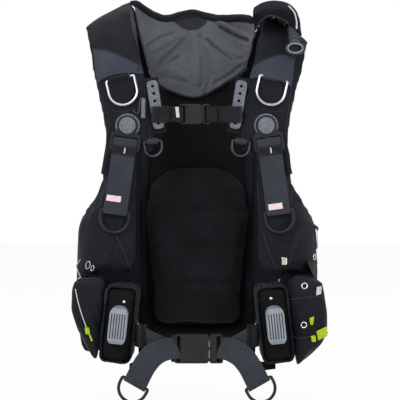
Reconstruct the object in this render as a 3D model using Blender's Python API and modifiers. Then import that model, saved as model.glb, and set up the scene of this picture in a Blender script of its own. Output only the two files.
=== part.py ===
"""Scuba buoyancy jacket as an assembly of named pieces, in metres, +Z up, front towards -Y.

The origin is the middle of the rear saddle of the backplate, where the cylinder is strapped.
"""
import math

import bmesh
import bpy
from mathutils import Matrix, Vector

# Driving sizes in millimetres
GAP = 0.3                 # clearance between touching pieces
WEB_W = 38.0              # main webbing width
WEB_T = 2.0               # main webbing thickness
STERNUM_W = 25.0          # chest webbing width
RING_WIRE = 4.6           # stainless shoulder ring wire
RING_W = 50.0             # shoulder ring outer width
RING_H = 49.0             # shoulder ring outer height
SMALL_WIRE = 4.0          # small chest ring wire
SMALL_W = 32.0
SMALL_H = 28.0
PULL_WIRE = 5.0           # moulded pull rings
PULL_W = WEB_W + 2 * PULL_WIRE + 2.0
CYLINDER_R = 92.0         # cylinder the band goes round
BAND_W = 50.0
BAND_T = 2.6
BAND_Z = 60.0             # height of the band's middle
PLATE_T = 4.0
PLATE_FRONT = -30.0       # front face of the backplate
RAIL_X = 30.0             # middle of each saddle rail
RAIL_W = 16.0
PANEL_T = 32.0            # thickness of the back panel
PAD_T = 28.0              # thickness of the back pad
SHOULDER_HALF = 43.0
SHOULDER_T = 16.0
ARCH_DROP = 24.0          # lower arch where the inflator lies on the shoulder
DISC_R = 19.6             # swivel buckle base
CAP_R = 13.4
HOLSTER = (52.0, 114.4, 124.0)   # outer width, depth and height
HOLSTER_WALL = 3.5
HOLSTER_X = 125.0
HOLSTER_FRONT = -199.0
HOLSTER_Z = -150.0
HOLSTER_TILT = -6.0       # degrees, lower end leaning outwards
BUCKLE_T = 14.0           # waist buckle thickness
BUCKLE_H = 46.0
BUCKLE_Y = -205.0
BUCKLE_Z = -187.0
STERNUM_Y = -186.0
STERNUM_Z = 186.0
HOSE_R = 11.0
HOSE_BORE = 8.0
HOSE_RIBS = 22

for old in list(bpy.data.objects):
    bpy.data.objects.remove(old, do_unlink=True)

PARTS = bpy.data.collections.new("buoyancy_jacket")
CUTTERS = bpy.data.collections.new("cutters")
bpy.context.scene.collection.children.link(PARTS)
bpy.context.scene.collection.children.link(CUTTERS)


def mm(*values):
    """A point given in millimetres."""
    return Vector(values) * 0.001


def material(name, colour, roughness, metallic=0.0):
    made = bpy.data.materials.new(name)
    made.use_nodes = True
    shader = made.node_tree.nodes["Principled BSDF"]
    shader.inputs["Base Color"].default_value = (*colour, 1.0)
    shader.inputs["Roughness"].default_value = roughness
    shader.inputs["Metallic"].default_value = metallic
    return made


SHELL = material("shell_fabric", (0.018, 0.019, 0.022), 0.75)
PANEL = material("smooth_panel", (0.045, 0.049, 0.062), 0.6)
MESH_GREY = material("grey_mesh", (0.12, 0.125, 0.125), 0.85)
MESH_BLACK = material("black_mesh", (0.012, 0.012, 0.013), 0.9)
WEBBING = material("webbing", (0.05, 0.053, 0.06), 0.7)
BLACK_PLASTIC = material("black_plastic", (0.012, 0.012, 0.013), 0.4)
GREY_PLASTIC = material("grey_plastic", (0.28, 0.3, 0.34), 0.5)
STEEL = material("stainless_steel", (0.62, 0.63, 0.64), 0.2, 1.0)
RUBBER = material("black_rubber", (0.015, 0.015, 0.016), 0.6)
GLOSS = material("gloss_plastic", (0.01, 0.01, 0.011), 0.2)


def add_object(name, mesh, mat, collection=PARTS):
    made = bpy.data.objects.new(name, mesh)
    collection.objects.link(made)
    if mat is not None:
        mesh.materials.append(mat)
    return made


def finish_mesh(name, bm, mat, collection=PARTS):
    bmesh.ops.recalc_face_normals(bm, faces=bm.faces[:])
    mesh = bpy.data.meshes.new(name)
    bm.to_mesh(mesh)
    bm.free()
    return add_object(name, mesh, mat, collection)


def cutter(obj):
    """Keep an object as a tool for Booleans, out of the part."""
    for old in list(obj.users_collection):
        old.objects.unlink(obj)
    CUTTERS.objects.link(obj)
    obj.hide_render = True
    obj.display_type = "WIRE"
    return obj


def boolean(obj, tool, operation):
    mod = obj.modifiers.new(operation.lower(), "BOOLEAN")
    mod.operation = operation
    mod.solver = "EXACT"
    mod.object = tool
    return mod


def bevel(obj, width, segments=2, angle=35.0):
    mod = obj.modifiers.new("bevel", "BEVEL")
    mod.width = width * 0.001
    mod.segments = segments
    mod.limit_method = "ANGLE"
    mod.angle_limit = math.radians(angle)
    return mod


def box(name, low, high, mat=None, collection=PARTS):
    bm = bmesh.new()
    bmesh.ops.create_cube(bm, size=1.0)
    size = mm(*high) - mm(*low)
    middle = (mm(*high) + mm(*low)) / 2
    bmesh.ops.scale(bm, vec=size, verts=bm.verts)
    bmesh.ops.translate(bm, vec=middle, verts=bm.verts)
    return finish_mesh(name, bm, mat, collection)


def frame_of(origin, along, up=(0, 0, 1)):
    """Matrix whose local Z runs along a direction."""
    z_axis = Vector(along).normalized()
    x_axis = Vector(up).cross(z_axis)
    if x_axis.length < 1e-4:
        x_axis = Vector((1, 0, 0))
    x_axis.normalize()
    y_axis = z_axis.cross(x_axis)
    turned = Matrix((x_axis, y_axis, z_axis)).transposed().to_4x4()
    return Matrix.Translation(origin) @ turned


def cylinder(name, start, end, radius, mat=None, sides=24, collection=PARTS, radius_end=None):
    low = mm(*start)
    high = mm(*end)
    bm = bmesh.new()
    far = radius if radius_end is None else radius_end
    bmesh.ops.create_cone(bm, cap_ends=True, segments=sides, radius1=radius * 0.001,
                          radius2=far * 0.001, depth=(high - low).length)
    bmesh.ops.transform(bm, matrix=frame_of((low + high) / 2, high - low), verts=bm.verts)
    return finish_mesh(name, bm, mat, collection)


def lathe(name, profile, origin, along, mat, sides=28):
    """Turn a profile of (radius, height) points, given top to bottom, round an axis."""
    bm = bmesh.new()
    points = [bm.verts.new((r * 0.001, 0, h * 0.001)) for r, h in profile]
    for first, second in zip(points, points[1:]):
        bm.edges.new((first, second))
    bmesh.ops.spin(bm, geom=bm.verts[:] + bm.edges[:], axis=(0, 0, 1), cent=(0, 0, 0),
                   angle=math.tau, steps=sides, use_merge=True)
    bmesh.ops.remove_doubles(bm, verts=bm.verts, dist=1e-6)
    bmesh.ops.transform(bm, matrix=frame_of(mm(*origin), along), verts=bm.verts)
    return finish_mesh(name, bm, mat)


def outline(name, points, depth, place, mat=None, holes=(), collection=PARTS):
    """A flat outline with holes, filled and extruded both ways; local Z is the thickness."""
    data = bpy.data.curves.new(name, "CURVE")
    data.dimensions = "2D"
    data.fill_mode = "BOTH"
    data.extrude = depth * 0.0005
    for loop in [points, *holes]:
        line = data.splines.new("POLY")
        line.points.add(len(loop) - 1)
        for point, spot in zip(line.points, loop):
            point.co = (spot[0] * 0.001, spot[1] * 0.001, 0, 1)
        line.use_cyclic_u = True
    shape = bpy.data.objects.new(name + "_curve", data)
    CUTTERS.objects.link(shape)
    bpy.context.view_layer.update()
    graph = bpy.context.evaluated_depsgraph_get()
    mesh = bpy.data.meshes.new_from_object(shape.evaluated_get(graph))
    bpy.data.objects.remove(shape, do_unlink=True)
    bm = bmesh.new()
    bm.from_mesh(mesh)
    bpy.data.meshes.remove(mesh)
    bmesh.ops.remove_doubles(bm, verts=bm.verts, dist=1e-6)
    bmesh.ops.dissolve_limit(bm, angle_limit=0.01, verts=bm.verts, edges=bm.edges)
    bmesh.ops.triangulate(bm, faces=bm.faces)
    bmesh.ops.transform(bm, matrix=place, verts=bm.verts)
    return finish_mesh(name, bm, mat, collection)


def rounded(width, height, radius, steps=4, centre=(0, 0)):
    """Corner points of a rounded rectangle."""
    spots = []
    for sx, sy, start in ((1, 1, 0), (-1, 1, 90), (-1, -1, 180), (1, -1, 270)):
        cx = centre[0] + sx * (width / 2 - radius)
        cy = centre[1] + sy * (height / 2 - radius)
        for i in range(steps + 1):
            angle = math.radians(start + 90 * i / steps)
            spots.append((cx + radius * math.cos(angle), cy + radius * math.sin(angle)))
    return spots


def pad(name, stations, mat, sides=16, power=2.6):
    """A stuffed form lofted between unlike oval sections.

    Each station is centre, across, normal, half width and half thickness.
    """
    bm = bmesh.new()
    rings = []
    for centre, across, normal, half, thick in stations:
        side = Vector(across).normalized()
        out = Vector(normal).normalized()
        ring = []
        for i in range(sides):
            angle = math.tau * i / sides
            u = math.copysign(abs(math.cos(angle)) ** (2 / power), math.cos(angle))
            v = math.copysign(abs(math.sin(angle)) ** (2 / power), math.sin(angle))
            ring.append(bm.verts.new(mm(*centre) + side * u * half * 0.001 + out * v * thick * 0.001))
        rings.append(ring)
    for low, high in zip(rings, rings[1:]):
        for i in range(sides):
            j = (i + 1) % sides
            bm.faces.new((low[i], low[j], high[j], high[i]))
    bm.faces.new(rings[0])
    bm.faces.new(rings[-1])
    return finish_mesh(name, bm, mat)


def ribbon(name, path, across, width, thick, mat):
    """Webbing: a strip laid along a path and given thickness."""
    bm = bmesh.new()
    rows = []
    for i, spot in enumerate(path):
        side = Vector(across[i] if isinstance(across, list) else across).normalized()
        middle = mm(*spot)
        rows.append((bm.verts.new(middle - side * width * 0.0005),
                     bm.verts.new(middle + side * width * 0.0005)))
    for low, high in zip(rows, rows[1:]):
        bm.faces.new((low[0], low[1], high[1], high[0]))
    made = finish_mesh(name, bm, mat)
    solid = made.modifiers.new("thickness", "SOLIDIFY")
    solid.thickness = thick * 0.001
    solid.offset = 0.0
    solid.use_even_offset = True
    return made


def wire(name, points, radius, mat, cyclic=True, resolution=2):
    """A rod bent along points."""
    data = bpy.data.curves.new(name, "CURVE")
    data.dimensions = "3D"
    data.bevel_depth = radius * 0.001
    data.bevel_resolution = resolution
    data.use_fill_caps = not cyclic
    line = data.splines.new("POLY")
    line.points.add(len(points) - 1)
    for point, spot in zip(line.points, points):
        point.co = (*mm(*spot), 1)
    line.use_cyclic_u = cyclic
    data.resolution_u = 1
    data.render_resolution_u = 0
    made = bpy.data.objects.new(name, data)
    PARTS.objects.link(made)
    data.materials.append(mat)
    return made


def arc(centre, radius, start, stop, steps):
    """Points of an arc in a plane, in degrees."""
    spots = []
    for i in range(steps + 1):
        angle = math.radians(start + (stop - start) * i / steps)
        spots.append((centre[0] + radius * math.cos(angle), centre[1] + radius * math.sin(angle)))
    return spots


UPRIGHT = Matrix(((1, 0, 0, 0), (0, 0, -1, 0), (0, 1, 0, 0), (0, 0, 0, 1)))


def facing(x, y, z, turn=0.0):
    """Place a flat outline upright, seen from the front, turned about Y in degrees."""
    return Matrix.Translation(mm(x, y, z)) @ Matrix.Rotation(math.radians(turn), 4, "Y") @ UPRIGHT


# Backplate: pierced plate, two saddle rails with band windows, and a carry handle
PLATE_REAR = PLATE_FRONT + PLATE_T
PLATE_LOW = -130.0
PLATE_HIGH = 195.0
BAND_SEAT = PLATE_REAR - 0.5
HANDLE_Z = (163.0, 187.0)
half_plate = [(52, PLATE_HIGH), (74, 178), (80, 120), (70, 60), (70, 0), (82, -60), (80, -112),
              (60, PLATE_LOW)]
plate_outline = half_plate + [(-x, z) for x, z in reversed(half_plate)]
lightening = [[(s * x, z) for x, z in ((45, 92), (60, 89), (69, 140), (47, 147))] for s in (-1, 1)]
lightening += [[(s * x, z) for x, z in ((48, -43), (68, -39), (73, -100), (50, -105))] for s in (-1, 1)]
lightening += [rounded(20, 56, 9, 3, (0, z)) for z in (-70, 0, 118)]
backplate = outline("backplate", plate_outline, PLATE_T, facing(0, PLATE_FRONT + PLATE_T / 2, 0),
                    BLACK_PLASTIC, lightening)
for side in (-1, 1):
    rail = box(f"rail_{side}", (side * RAIL_X - RAIL_W / 2, PLATE_REAR - 2, -112),
               (side * RAIL_X + RAIL_W / 2, 0, 150))
    boolean(backplate, cutter(rail), "UNION")
handle_shape = [(-56, -28), (-56, -14), (-44, -5), (44, -5), (56, -14), (56, -28),
                (46, -28), (46, -17), (40, -12), (-40, -12), (-46, -17), (-46, -28)]
grip = outline("grip", handle_shape, HANDLE_Z[1] - HANDLE_Z[0],
               Matrix.Translation(mm(0, 0, sum(HANDLE_Z) / 2)))
boolean(backplate, cutter(grip), "UNION")
window = box("band_window", (-60, BAND_SEAT, BAND_Z - BAND_W / 2 - 1.0),
             (60, BAND_SEAT + BAND_T + 2 * GAP + 1.0, BAND_Z + BAND_W / 2 + 1.0))
boolean(backplate, cutter(window), "DIFFERENCE")

# Tank band: closed loop through the rail windows and round the cylinder
SADDLE_HALF = RAIL_X - RAIL_W / 2
CYL_Y = math.sqrt(CYLINDER_R ** 2 - SADDLE_HALF ** 2)
BAND_R = CYLINDER_R + BAND_T / 2
band_y = BAND_SEAT + GAP + BAND_T / 2
band_path = [(-20, band_y), (20, band_y), (52, band_y), (58, band_y + 5), (60.5, band_y + 16)]
for i in range(31):
    theta = math.radians(42 + 276 * i / 30)
    band_path.append((BAND_R * math.sin(theta), CYL_Y - BAND_R * math.cos(theta)))
band_path += [(-60.5, band_y + 16), (-58, band_y + 5), (-52, band_y)]
bm = bmesh.new()
lower = [bm.verts.new(mm(x, y, BAND_Z - BAND_W / 2)) for x, y in band_path]
upper = [bm.verts.new(mm(x, y, BAND_Z + BAND_W / 2)) for x, y in band_path]
for i in range(len(band_path)):
    j = (i + 1) % len(band_path)
    bm.faces.new((lower[i], lower[j], upper[j], upper[i]))
tank_band = finish_mesh("tank_band", bm, WEBBING)
solid = tank_band.modifiers.new("thickness", "SOLIDIFY")
solid.thickness = BAND_T * 0.001
solid.offset = 0.0

# Cam buckle on the rear of the band: base with ears, and a folding lever
BAND_BACK = CYL_Y + BAND_R + BAND_T / 2
CAM_HALF = 31.0
CAM_RISE = 8.0692         # top of the base behind the band
CAM_WRAP = 11.93          # reach of the base forward over the band
CAM_TOP = BAND_BACK + CAM_RISE
PIN = (CAM_HALF - 6.0, CAM_TOP + 6.0)
PIN_R = 2.0
cam_half_z = BAND_W / 2 + 4.0
cam_base = box("cam_buckle_base", (-CAM_HALF, BAND_BACK - CAM_WRAP, BAND_Z - cam_half_z),
               (CAM_HALF, CAM_TOP, BAND_Z + cam_half_z), BLACK_PLASTIC)
for side in (-1, 1):
    ear_z = BAND_Z + side * (cam_half_z - 2.0)
    ear = box(f"ear_{side}", (PIN[0] - 6, CAM_TOP - 3, ear_z - 2), (PIN[0] + 6, PIN[1] + 5, ear_z + 2))
    boolean(cam_base, cutter(ear), "UNION")
seat = cylinder("band_seat", (0, CYL_Y, BAND_Z - 2 * cam_half_z), (0, CYL_Y, BAND_Z + 2 * cam_half_z),
                BAND_R + BAND_T / 2 + GAP, sides=96)
boolean(cam_base, cutter(seat), "DIFFERENCE")
pin_hole = cylinder("pin_hole", (*PIN, BAND_Z - 2 * cam_half_z), (*PIN, BAND_Z + 2 * cam_half_z), PIN_R + GAP)
boolean(cam_base, cutter(pin_hole), "DIFFERENCE")
for x in (-21, 3):
    slot = box(f"cam_slot_{x}", (x - 3, BAND_BACK - 2 * CAM_WRAP, BAND_Z - BAND_W / 2),
               (x + 3, PIN[1] + 12, BAND_Z + BAND_W / 2))
    boolean(cam_base, cutter(slot), "DIFFERENCE")
lever_half = cam_half_z - 4.6
cam_lever = box("cam_lever", (3.0 - CAM_HALF, CAM_TOP + GAP + 1.0, BAND_Z - lever_half),
                (PIN[0], PIN[1] + 1.5, BAND_Z + lever_half), BLACK_PLASTIC)
barrel = cylinder("barrel", (*PIN, BAND_Z - lever_half), (*PIN, BAND_Z + lever_half),
                  PIN[1] - CAM_TOP - GAP - 0.3)
boolean(cam_lever, cutter(barrel), "UNION")
stub = cylinder("stub", (*PIN, BAND_Z - cam_half_z + 0.5), (*PIN, BAND_Z + cam_half_z - 0.5), PIN_R, sides=16)
boolean(cam_lever, cutter(stub), "UNION")
thumb = box("thumb_slot", (-20, CAM_TOP - 12, BAND_Z - 15), (-12, PIN[1] + 12, BAND_Z + 15))
boolean(cam_lever, cutter(thumb), "DIFFERENCE")

# Back panel, back pad with sewn channels, neck yoke and collar roll
X_AXIS = (1, 0, 0)
Y_AXIS = (0, 1, 0)
Z_AXIS = (0, 0, 1)
panel_y = PLATE_FRONT - GAP - PANEL_T / 2
panel_front = PLATE_FRONT - GAP - PANEL_T
panel_table = [(-168, 60, 6), (-160, 78, 12), (-140, 86, 16), (-60, 90, 16), (60, 90, 16), (140, 86, 16),
               (215, 74, 16), (300, 68, 16), (322, 62, 13), (330, 52, 7)]
pad("back_panel", [((0, panel_y, z), X_AXIS, Y_AXIS, w, t * PANEL_T / 32) for z, w, t in panel_table],
    SHELL, 20, 4.0)
pad_y = panel_front - GAP - PAD_T / 2
pad_table = [(-160, 56, 5), (-155, 68, 10), (-140, 75, 14), (-98, 80, 14), (-90, 80, 9), (-82, 81, 14),
             (-38, 87, 14), (-30, 87, 9), (-22, 88, 14), (22, 93, 14), (30, 93, 9), (38, 92, 14),
             (78, 80, 13), (96, 58, 9), (106, 32, 4)]
pad("back_pad", [((0, pad_y, z), X_AXIS, Y_AXIS, w, t * PAD_T / 28) for z, w, t in pad_table],
    MESH_BLACK, 20, 3.4)
YOKE_HALF = 4.0
COLLAR_R = 9.5
COLLAR_TOP = 361.0
# Each row: x of the collar roll, its fall below the top, radius share
COLLAR_ROWS = [(-95, -4, 0.5), (-91, -3, 0.85), (-76, 3, 1), (-56, 8, 1), (-34, 4.5, 1), (-12, 0, 1),
               (12, 2.5, 1), (37, 8, 1), (62, 8.5, 1), (84, 7.5, 1), (91, 7, 0.8), (95, 7, 0.4)]
yoke_y = panel_front - GAP - YOKE_HALF


def collar_z(x):
    """Height of the collar's middle line."""
    for (x0, fall0, _), (x1, fall1, _) in zip(COLLAR_ROWS, COLLAR_ROWS[1:]):
        if x0 <= x <= x1:
            return COLLAR_TOP - fall0 - (fall1 - fall0) * (x - x0) / (x1 - x0)
    return COLLAR_TOP - COLLAR_ROWS[0 if x < 0 else -1][1]


# Each row: distance from the middle, lowest z, most height, half thickness share
YOKE_ROWS = [(98, 290, 318, 0.5), (93, 268, 332, 0.9), (84, 255, 999, 1), (72, 244, 999, 1),
             (56, 234, 999, 1),
             (37, 226, 999, 1), (18, 222, 999, 1)]
yoke_stations = []
for side, rows in ((-1, YOKE_ROWS), (1, [(0, 221, 999, 1)] + YOKE_ROWS[::-1])):
    for x, low, high, share in rows:
        top = min(high, collar_z(side * x) - COLLAR_R - GAP - 0.5)
        yoke_stations.append(((side * x, yoke_y, (low + top) / 2), Z_AXIS, Y_AXIS, (top - low) / 2,
                              YOKE_HALF * share))
pad("neck_yoke", yoke_stations, MESH_GREY, 20, 5.0)
collar_stations = []
for x, fall, share in COLLAR_ROWS:
    collar_stations.append(((x, yoke_y, COLLAR_TOP - fall), Z_AXIS, Y_AXIS, COLLAR_R * share,
                            COLLAR_R * share))
pad("collar", collar_stations, SHELL, 14, 2.0)

# Shoulder panels: swept over the shoulder from the back panel to a rounded tip in front
# Each row: centre x, y, z, sideways fall of the panel, share of the arch drop, half width share, thickness
# share
SHOULDER_ROWS = [
    (100, -44, 236, 0.05, 0.0, 0.60, 0.50), (106.7, -44, 252, 0.10, 0.2, 0.86, 0.9),
    (114, -46, 300, 0.25, 0.7, 1, 1),
    (134, -58, 340, 0.45, 1.0, 1, 1), (146, -86, 358, 0.53, 1.0, 1.02, 1),
    (144, -120, 345, 0.48, 1.0, 1.02, 1),
    (137, -148, 310, 0.32, 0.7, 1, 1), (131, -163, 270, 0.16, 0.3, 1, 1), (123, -173, 235, 0.05, 0.0, 1, 1),
    (114, -177, 196, 0.0, 0.0, 1, 1), (109, -178, 160, 0.0, 0.0, 0.99, 1),
    (108, -178, 140, 0.0, 0.0, 0.97, 1), (108, -178, 130, 0.0, 0.0, 0.92, 0.85),
    (108, -178, 123.5, 0.0, 0.0, 0.8, 0.5)]


def shoulder_stations(side):
    drop = ARCH_DROP if side > 0 else 0.0
    centres = [Vector((side * r[0], r[1], r[2] - drop * r[4])) for r in SHOULDER_ROWS]
    stations = []
    for i, row in enumerate(SHOULDER_ROWS):
        ahead = centres[min(i + 1, len(centres) - 1)]
        behind = centres[max(i - 1, 0)]
        tangent = (ahead - behind).normalized()
        across = Vector((side, 0, -row[3])).normalized()
        normal = tangent.cross(across).normalized()
        across = normal.cross(tangent).normalized()
        stations.append((centres[i], across, normal, SHOULDER_HALF * row[5], SHOULDER_T / 2 * row[6]))
    return stations


def sewn_loop(obj, centre, along, length, inner, outer):
    """Join a webbing loop for a ring's bar onto a soft piece."""
    ends = [Vector(centre) + Vector(along).normalized() * length * s / 2 for s in (-1, 1)]
    over = [Vector(centre) + Vector(along).normalized() * (length + 20) * s / 2 for s in (-1, 1)]
    boolean(obj, cutter(cylinder("loop", *ends, outer, sides=16)), "UNION")
    boolean(obj, cutter(cylinder("loop_bore", *over, inner, sides=16)), "DIFFERENCE")


def d_ring(name, centre, along, hang, width, height, wire_d, mat):
    """A D-shaped ring hanging from its straight bar; the object's origin is on the bar."""
    bar = Vector(along).normalized()
    down = Vector(hang)
    down = (down - bar * down.dot(bar)).normalized()
    half = (width - wire_d) / 2
    drop = height - wire_d - half
    flat = [(-half + 2, 0), (half - 2, 0), (half - 0.6, 0.6), (half, 2), (half, drop)]
    flat += [(half * math.cos(math.radians(a)), drop + half * math.sin(math.radians(a)))
             for a in range(20, 180, 20)]
    flat += [(-half, drop), (-half, 2), (-half + 0.6, 0.6)]
    made = wire(name, [bar * u + down * v for u, v in flat], wire_d / 2, mat)
    made.location = mm(*centre)
    return made


RING_RISE = RING_WIRE / 2 + GAP
SMALL_RISE = SMALL_WIRE / 2 + GAP
shoulders = {}
for side, tag in ((1, "l"), (-1, "r")):
    panel = pad(f"shoulder_{tag}", shoulder_stations(side), SHELL, 16, 3.2)
    shoulders[tag] = panel
    bar = Vector((side, 0, -0.24))
    spot = (side * 123.5, -182.7, 244)
    sewn_loop(panel, spot, bar, 36, RING_RISE, RING_RISE + WEB_T)
    d_ring(f"shoulder_d_ring_{tag}", spot, bar, (0, -0.2, -1), RING_W, RING_H, RING_WIRE, STEEL)
    small = (side * 71.0, -188.0, 143)
    slope = Vector((side, 0, -0.1))
    sewn_loop(panel, small, slope, 20, SMALL_RISE, SMALL_RISE + WEB_T)
    d_ring(f"chest_d_ring_{tag}", small, slope, (0, -0.05, -1), SMALL_W, SMALL_H, SMALL_WIRE, STEEL)

# Side wings: the lobes of the air cell, from the back panel round to the front
# Each row: x, y of the middle, lowest z, highest z, half thickness
WING_ROWS = [
    (90.6, -47, -148, 128, 11), (97, -47, -160, 140, 14), (112, -47, -176, 150, 15),
    (134, -51, -190, 148, 15),
    (156, -65, -205, 95, 15), (173, -92, -207, 52, 15), (181, -122, -200, 28, 15), (179, -147, -72, 24, 14),
    (168, -160, -70, 46, 12), (158, -165.5, -68, 70, 11), (150, -169, -66, 116, 10),
    (132, -171, -66, 119, 10),
    (112, -172, -66, 119, 10), (100, -172, -62, 112, 8), (94, -172, -45, 94, 4)]


def wing_stations(side):
    stations = []
    for i, (x, y, low, high, thick) in enumerate(WING_ROWS):
        before = WING_ROWS[max(i - 1, 0)]
        after = WING_ROWS[min(i + 1, len(WING_ROWS) - 1)]
        tangent = Vector((side * (after[0] - before[0]), after[1] - before[1], 0)).normalized()
        normal = tangent.cross(Vector(Z_AXIS))
        stations.append(((side * x, y, (low + high) / 2), Z_AXIS, normal, (high - low) / 2, thick))
    return stations


wings = {}
for side, tag in ((1, "l"), (-1, "r")):
    wings[tag] = pad(f"wing_{tag}", wing_stations(side), SHELL, 20, 3.0)

# Side ring on the wearer's left wing
SIDE_SPOT = (196.4, -122, 0)
sewn_loop(wings["l"], SIDE_SPOT, (0.1, 1, 0), 22, SMALL_RISE, SMALL_RISE + WEB_T)
d_ring("side_d_ring", SIDE_SPOT, (0.1, 1, 0), (0.06, 0, -1), SMALL_W + 4, SMALL_H + 6, SMALL_WIRE, STEEL)

# Rear dump valve let into the wearer's right wing, with its pull knob
DUMP = (-126.0, -39.0, -110.0)
DUMP_R = 23.0
seat = cylinder("dump_seat", (DUMP[0], DUMP[1] - GAP, DUMP[2]), (DUMP[0], 0, DUMP[2]), DUMP_R + GAP, sides=28)
boolean(wings["r"], cutter(seat), "DIFFERENCE")
lathe("rear_dump_valve", [(0, 10), (9, 10), (16, 9), (DUMP_R - 2, 6), (DUMP_R, 4), (DUMP_R, 0), (0, 0)],
      DUMP, Y_AXIS, BLACK_PLASTIC)
lathe("dump_knob", [(0, 11), (3, 10.4), (5, 8), (5, 5.5), (2.5, 3), (2.5, 0), (0, 0)],
      (DUMP[0], DUMP[1] + 10 + GAP, DUMP[2]), Y_AXIS, GREY_PLASTIC, 16)

# Pockets on the outside of each holster
# Each row: height, outer x; the inner x follows the holster's outer wall
POCKET_ROWS = {
    "r": [(-76, 188), (-84, 199), (-100, 202), (-130, 202), (-147, 197), (-162, 189), (-185, 177), (-198, 169),
          (-205, 164)],
    "l": [(-76, 190), (-84, 202), (-100, 205), (-130, 209), (-163, 212), (-180, 201), (-194, 183), (-207, 170),
          (-213, 165)]}
POCKET_ROUND = (8.0, 2.0, 0.3)   # drawing in of the top and bottom rows
POCKET_Y = -181.0
POCKET_HALF = 24.0
for side, tag in ((1, "l"), (-1, "r")):
    stations = []
    rows = POCKET_ROWS[tag]
    for i, (z, far) in enumerate(rows):
        share = (0.6, 0.92)[i] if i < 2 else (0.6 if i == len(rows) - 1 else 1.0)
        slope = math.radians(HOLSTER_TILT)
        near = HOLSTER_X + HOLSTER[0] / 2 / math.cos(slope) + (z - HOLSTER_Z) * math.tan(slope) + 2 * GAP
        near += POCKET_ROUND[min(i, 2)]
        stations.append(((side * (near + far) / 2, POCKET_Y, z), X_AXIS, Y_AXIS, (far - near) / 2,
                         POCKET_HALF * share))
    pad(f"pocket_{tag}", stations, PANEL, 16, 3.6)

# Weight holsters, pouches and ribbed release handles
HANDLE_W = 28.0
HANDLE_H = 62.0
HANDLE_OUT = 33.0
HANDLE_ROUND = 12.0
FINGER = (15.0, 40.0)
GROOVES = 6
GROOVE_PITCH = 4.2
FORWARD = Matrix(((0, 0, -1, 0), (-1, 0, 0, 0), (0, 1, 0, 0), (0, 0, 0, 1)))
width, depth, height = HOLSTER
for side, tag in ((1, "l"), (-1, "r")):
    turn = HOLSTER_TILT * side
    spot = (side * HOLSTER_X, HOLSTER_FRONT + depth / 2, HOLSTER_Z)
    holster = outline(f"holster_{tag}", rounded(width, height, 12), depth, facing(*spot, turn), SHELL)
    hollow = rounded(width - 2 * HOLSTER_WALL, height - 2 * HOLSTER_WALL, 12 - HOLSTER_WALL)
    core_spot = (spot[0], spot[1] - HOLSTER_WALL, spot[2])
    core = outline("holster_core", hollow, depth, facing(*core_spot, turn))
    boolean(holster, cutter(core), "DIFFERENCE")
    free = HOLSTER_WALL + 2 * GAP
    inner_depth = depth - HOLSTER_WALL - 4.0
    pouch_spot = (spot[0], HOLSTER_FRONT + 3.0 + inner_depth / 2, spot[2])
    pouch = outline(f"weight_pouch_{tag}", rounded(width - 2 * free, height - 2 * free, 12 - free),
                    inner_depth,
                    facing(*pouch_spot, turn), SHELL)
    bevel(pouch, 3.0)
    base = HOLSTER_FRONT + 3.0 - GAP
    tall = HANDLE_H / 2
    shape = [(0, -tall), (4, -tall), (HANDLE_OUT - 5, 3 - tall), (HANDLE_OUT, 8 - tall),
             (HANDLE_OUT, tall - 8), (HANDLE_OUT - 5, tall - 3), (4, tall), (0, tall)]
    place = Matrix.Translation(mm(spot[0], base, HOLSTER_Z)) @ Matrix.Rotation(math.radians(turn), 4,
                                                                               "Y") @ FORWARD
    handle = outline(f"weight_handle_{tag}", shape, HANDLE_W, place, GREY_PLASTIC,
                     [rounded(*FINGER, 5, 3, (13.5, 0))[::-1]])
    face = outline("handle_face", rounded(HANDLE_W, HANDLE_H, HANDLE_ROUND, 5), 90,
                   facing(spot[0], base, HOLSTER_Z, turn))
    boolean(handle, cutter(face), "INTERSECT")
    bm = bmesh.new()
    for i in range(GROOVES):
        aside = (i - (GROOVES - 1) / 2) * GROOVE_PITCH
        made = bmesh.ops.create_cube(bm, size=0.001)["verts"]
        bmesh.ops.scale(bm, vec=(3.4, HANDLE_H - 22, 1.7), verts=made)
        bmesh.ops.translate(bm, vec=mm(HANDLE_OUT + 0.2, 0, aside), verts=made)
    bmesh.ops.transform(bm, matrix=place, verts=bm.verts)
    boolean(handle, cutter(finish_mesh("grooves", bm, None)), "DIFFERENCE")

# Swivel shoulder buckles: fixed post and cap, turning ladder-lock frame, webbing tail and load strap
SWIVEL = (111.0, 168.0)
SWIVEL_TILT = -8.0
BASE_Y = -186.6
BASE_T = 3.0
FRAME_T = 3.2
POST_R = 8.0
FRAME_W = 48.0
FRAME_LOW = 41.0
frame_mid = BASE_Y - BASE_T - 0.4 - FRAME_T / 2
cap_low = BASE_Y - BASE_T - 0.8 - FRAME_T
TAIL_LEN = 139.0
curl = PULL_WIRE / 2 + GAP + 0.4 + WEB_T / 2
tail_y = frame_mid - FRAME_T / 2 - 0.5 - WEB_T / 2


def swung(side, x, y, z):
    """A point of the turning buckle, from sizes measured along its own tilted line."""
    turned = Matrix.Rotation(math.radians(SWIVEL_TILT * side), 3, "Y") @ Vector((x, 0, z))
    return (side * SWIVEL[0] + turned.x, y, SWIVEL[1] + turned.z)


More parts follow.
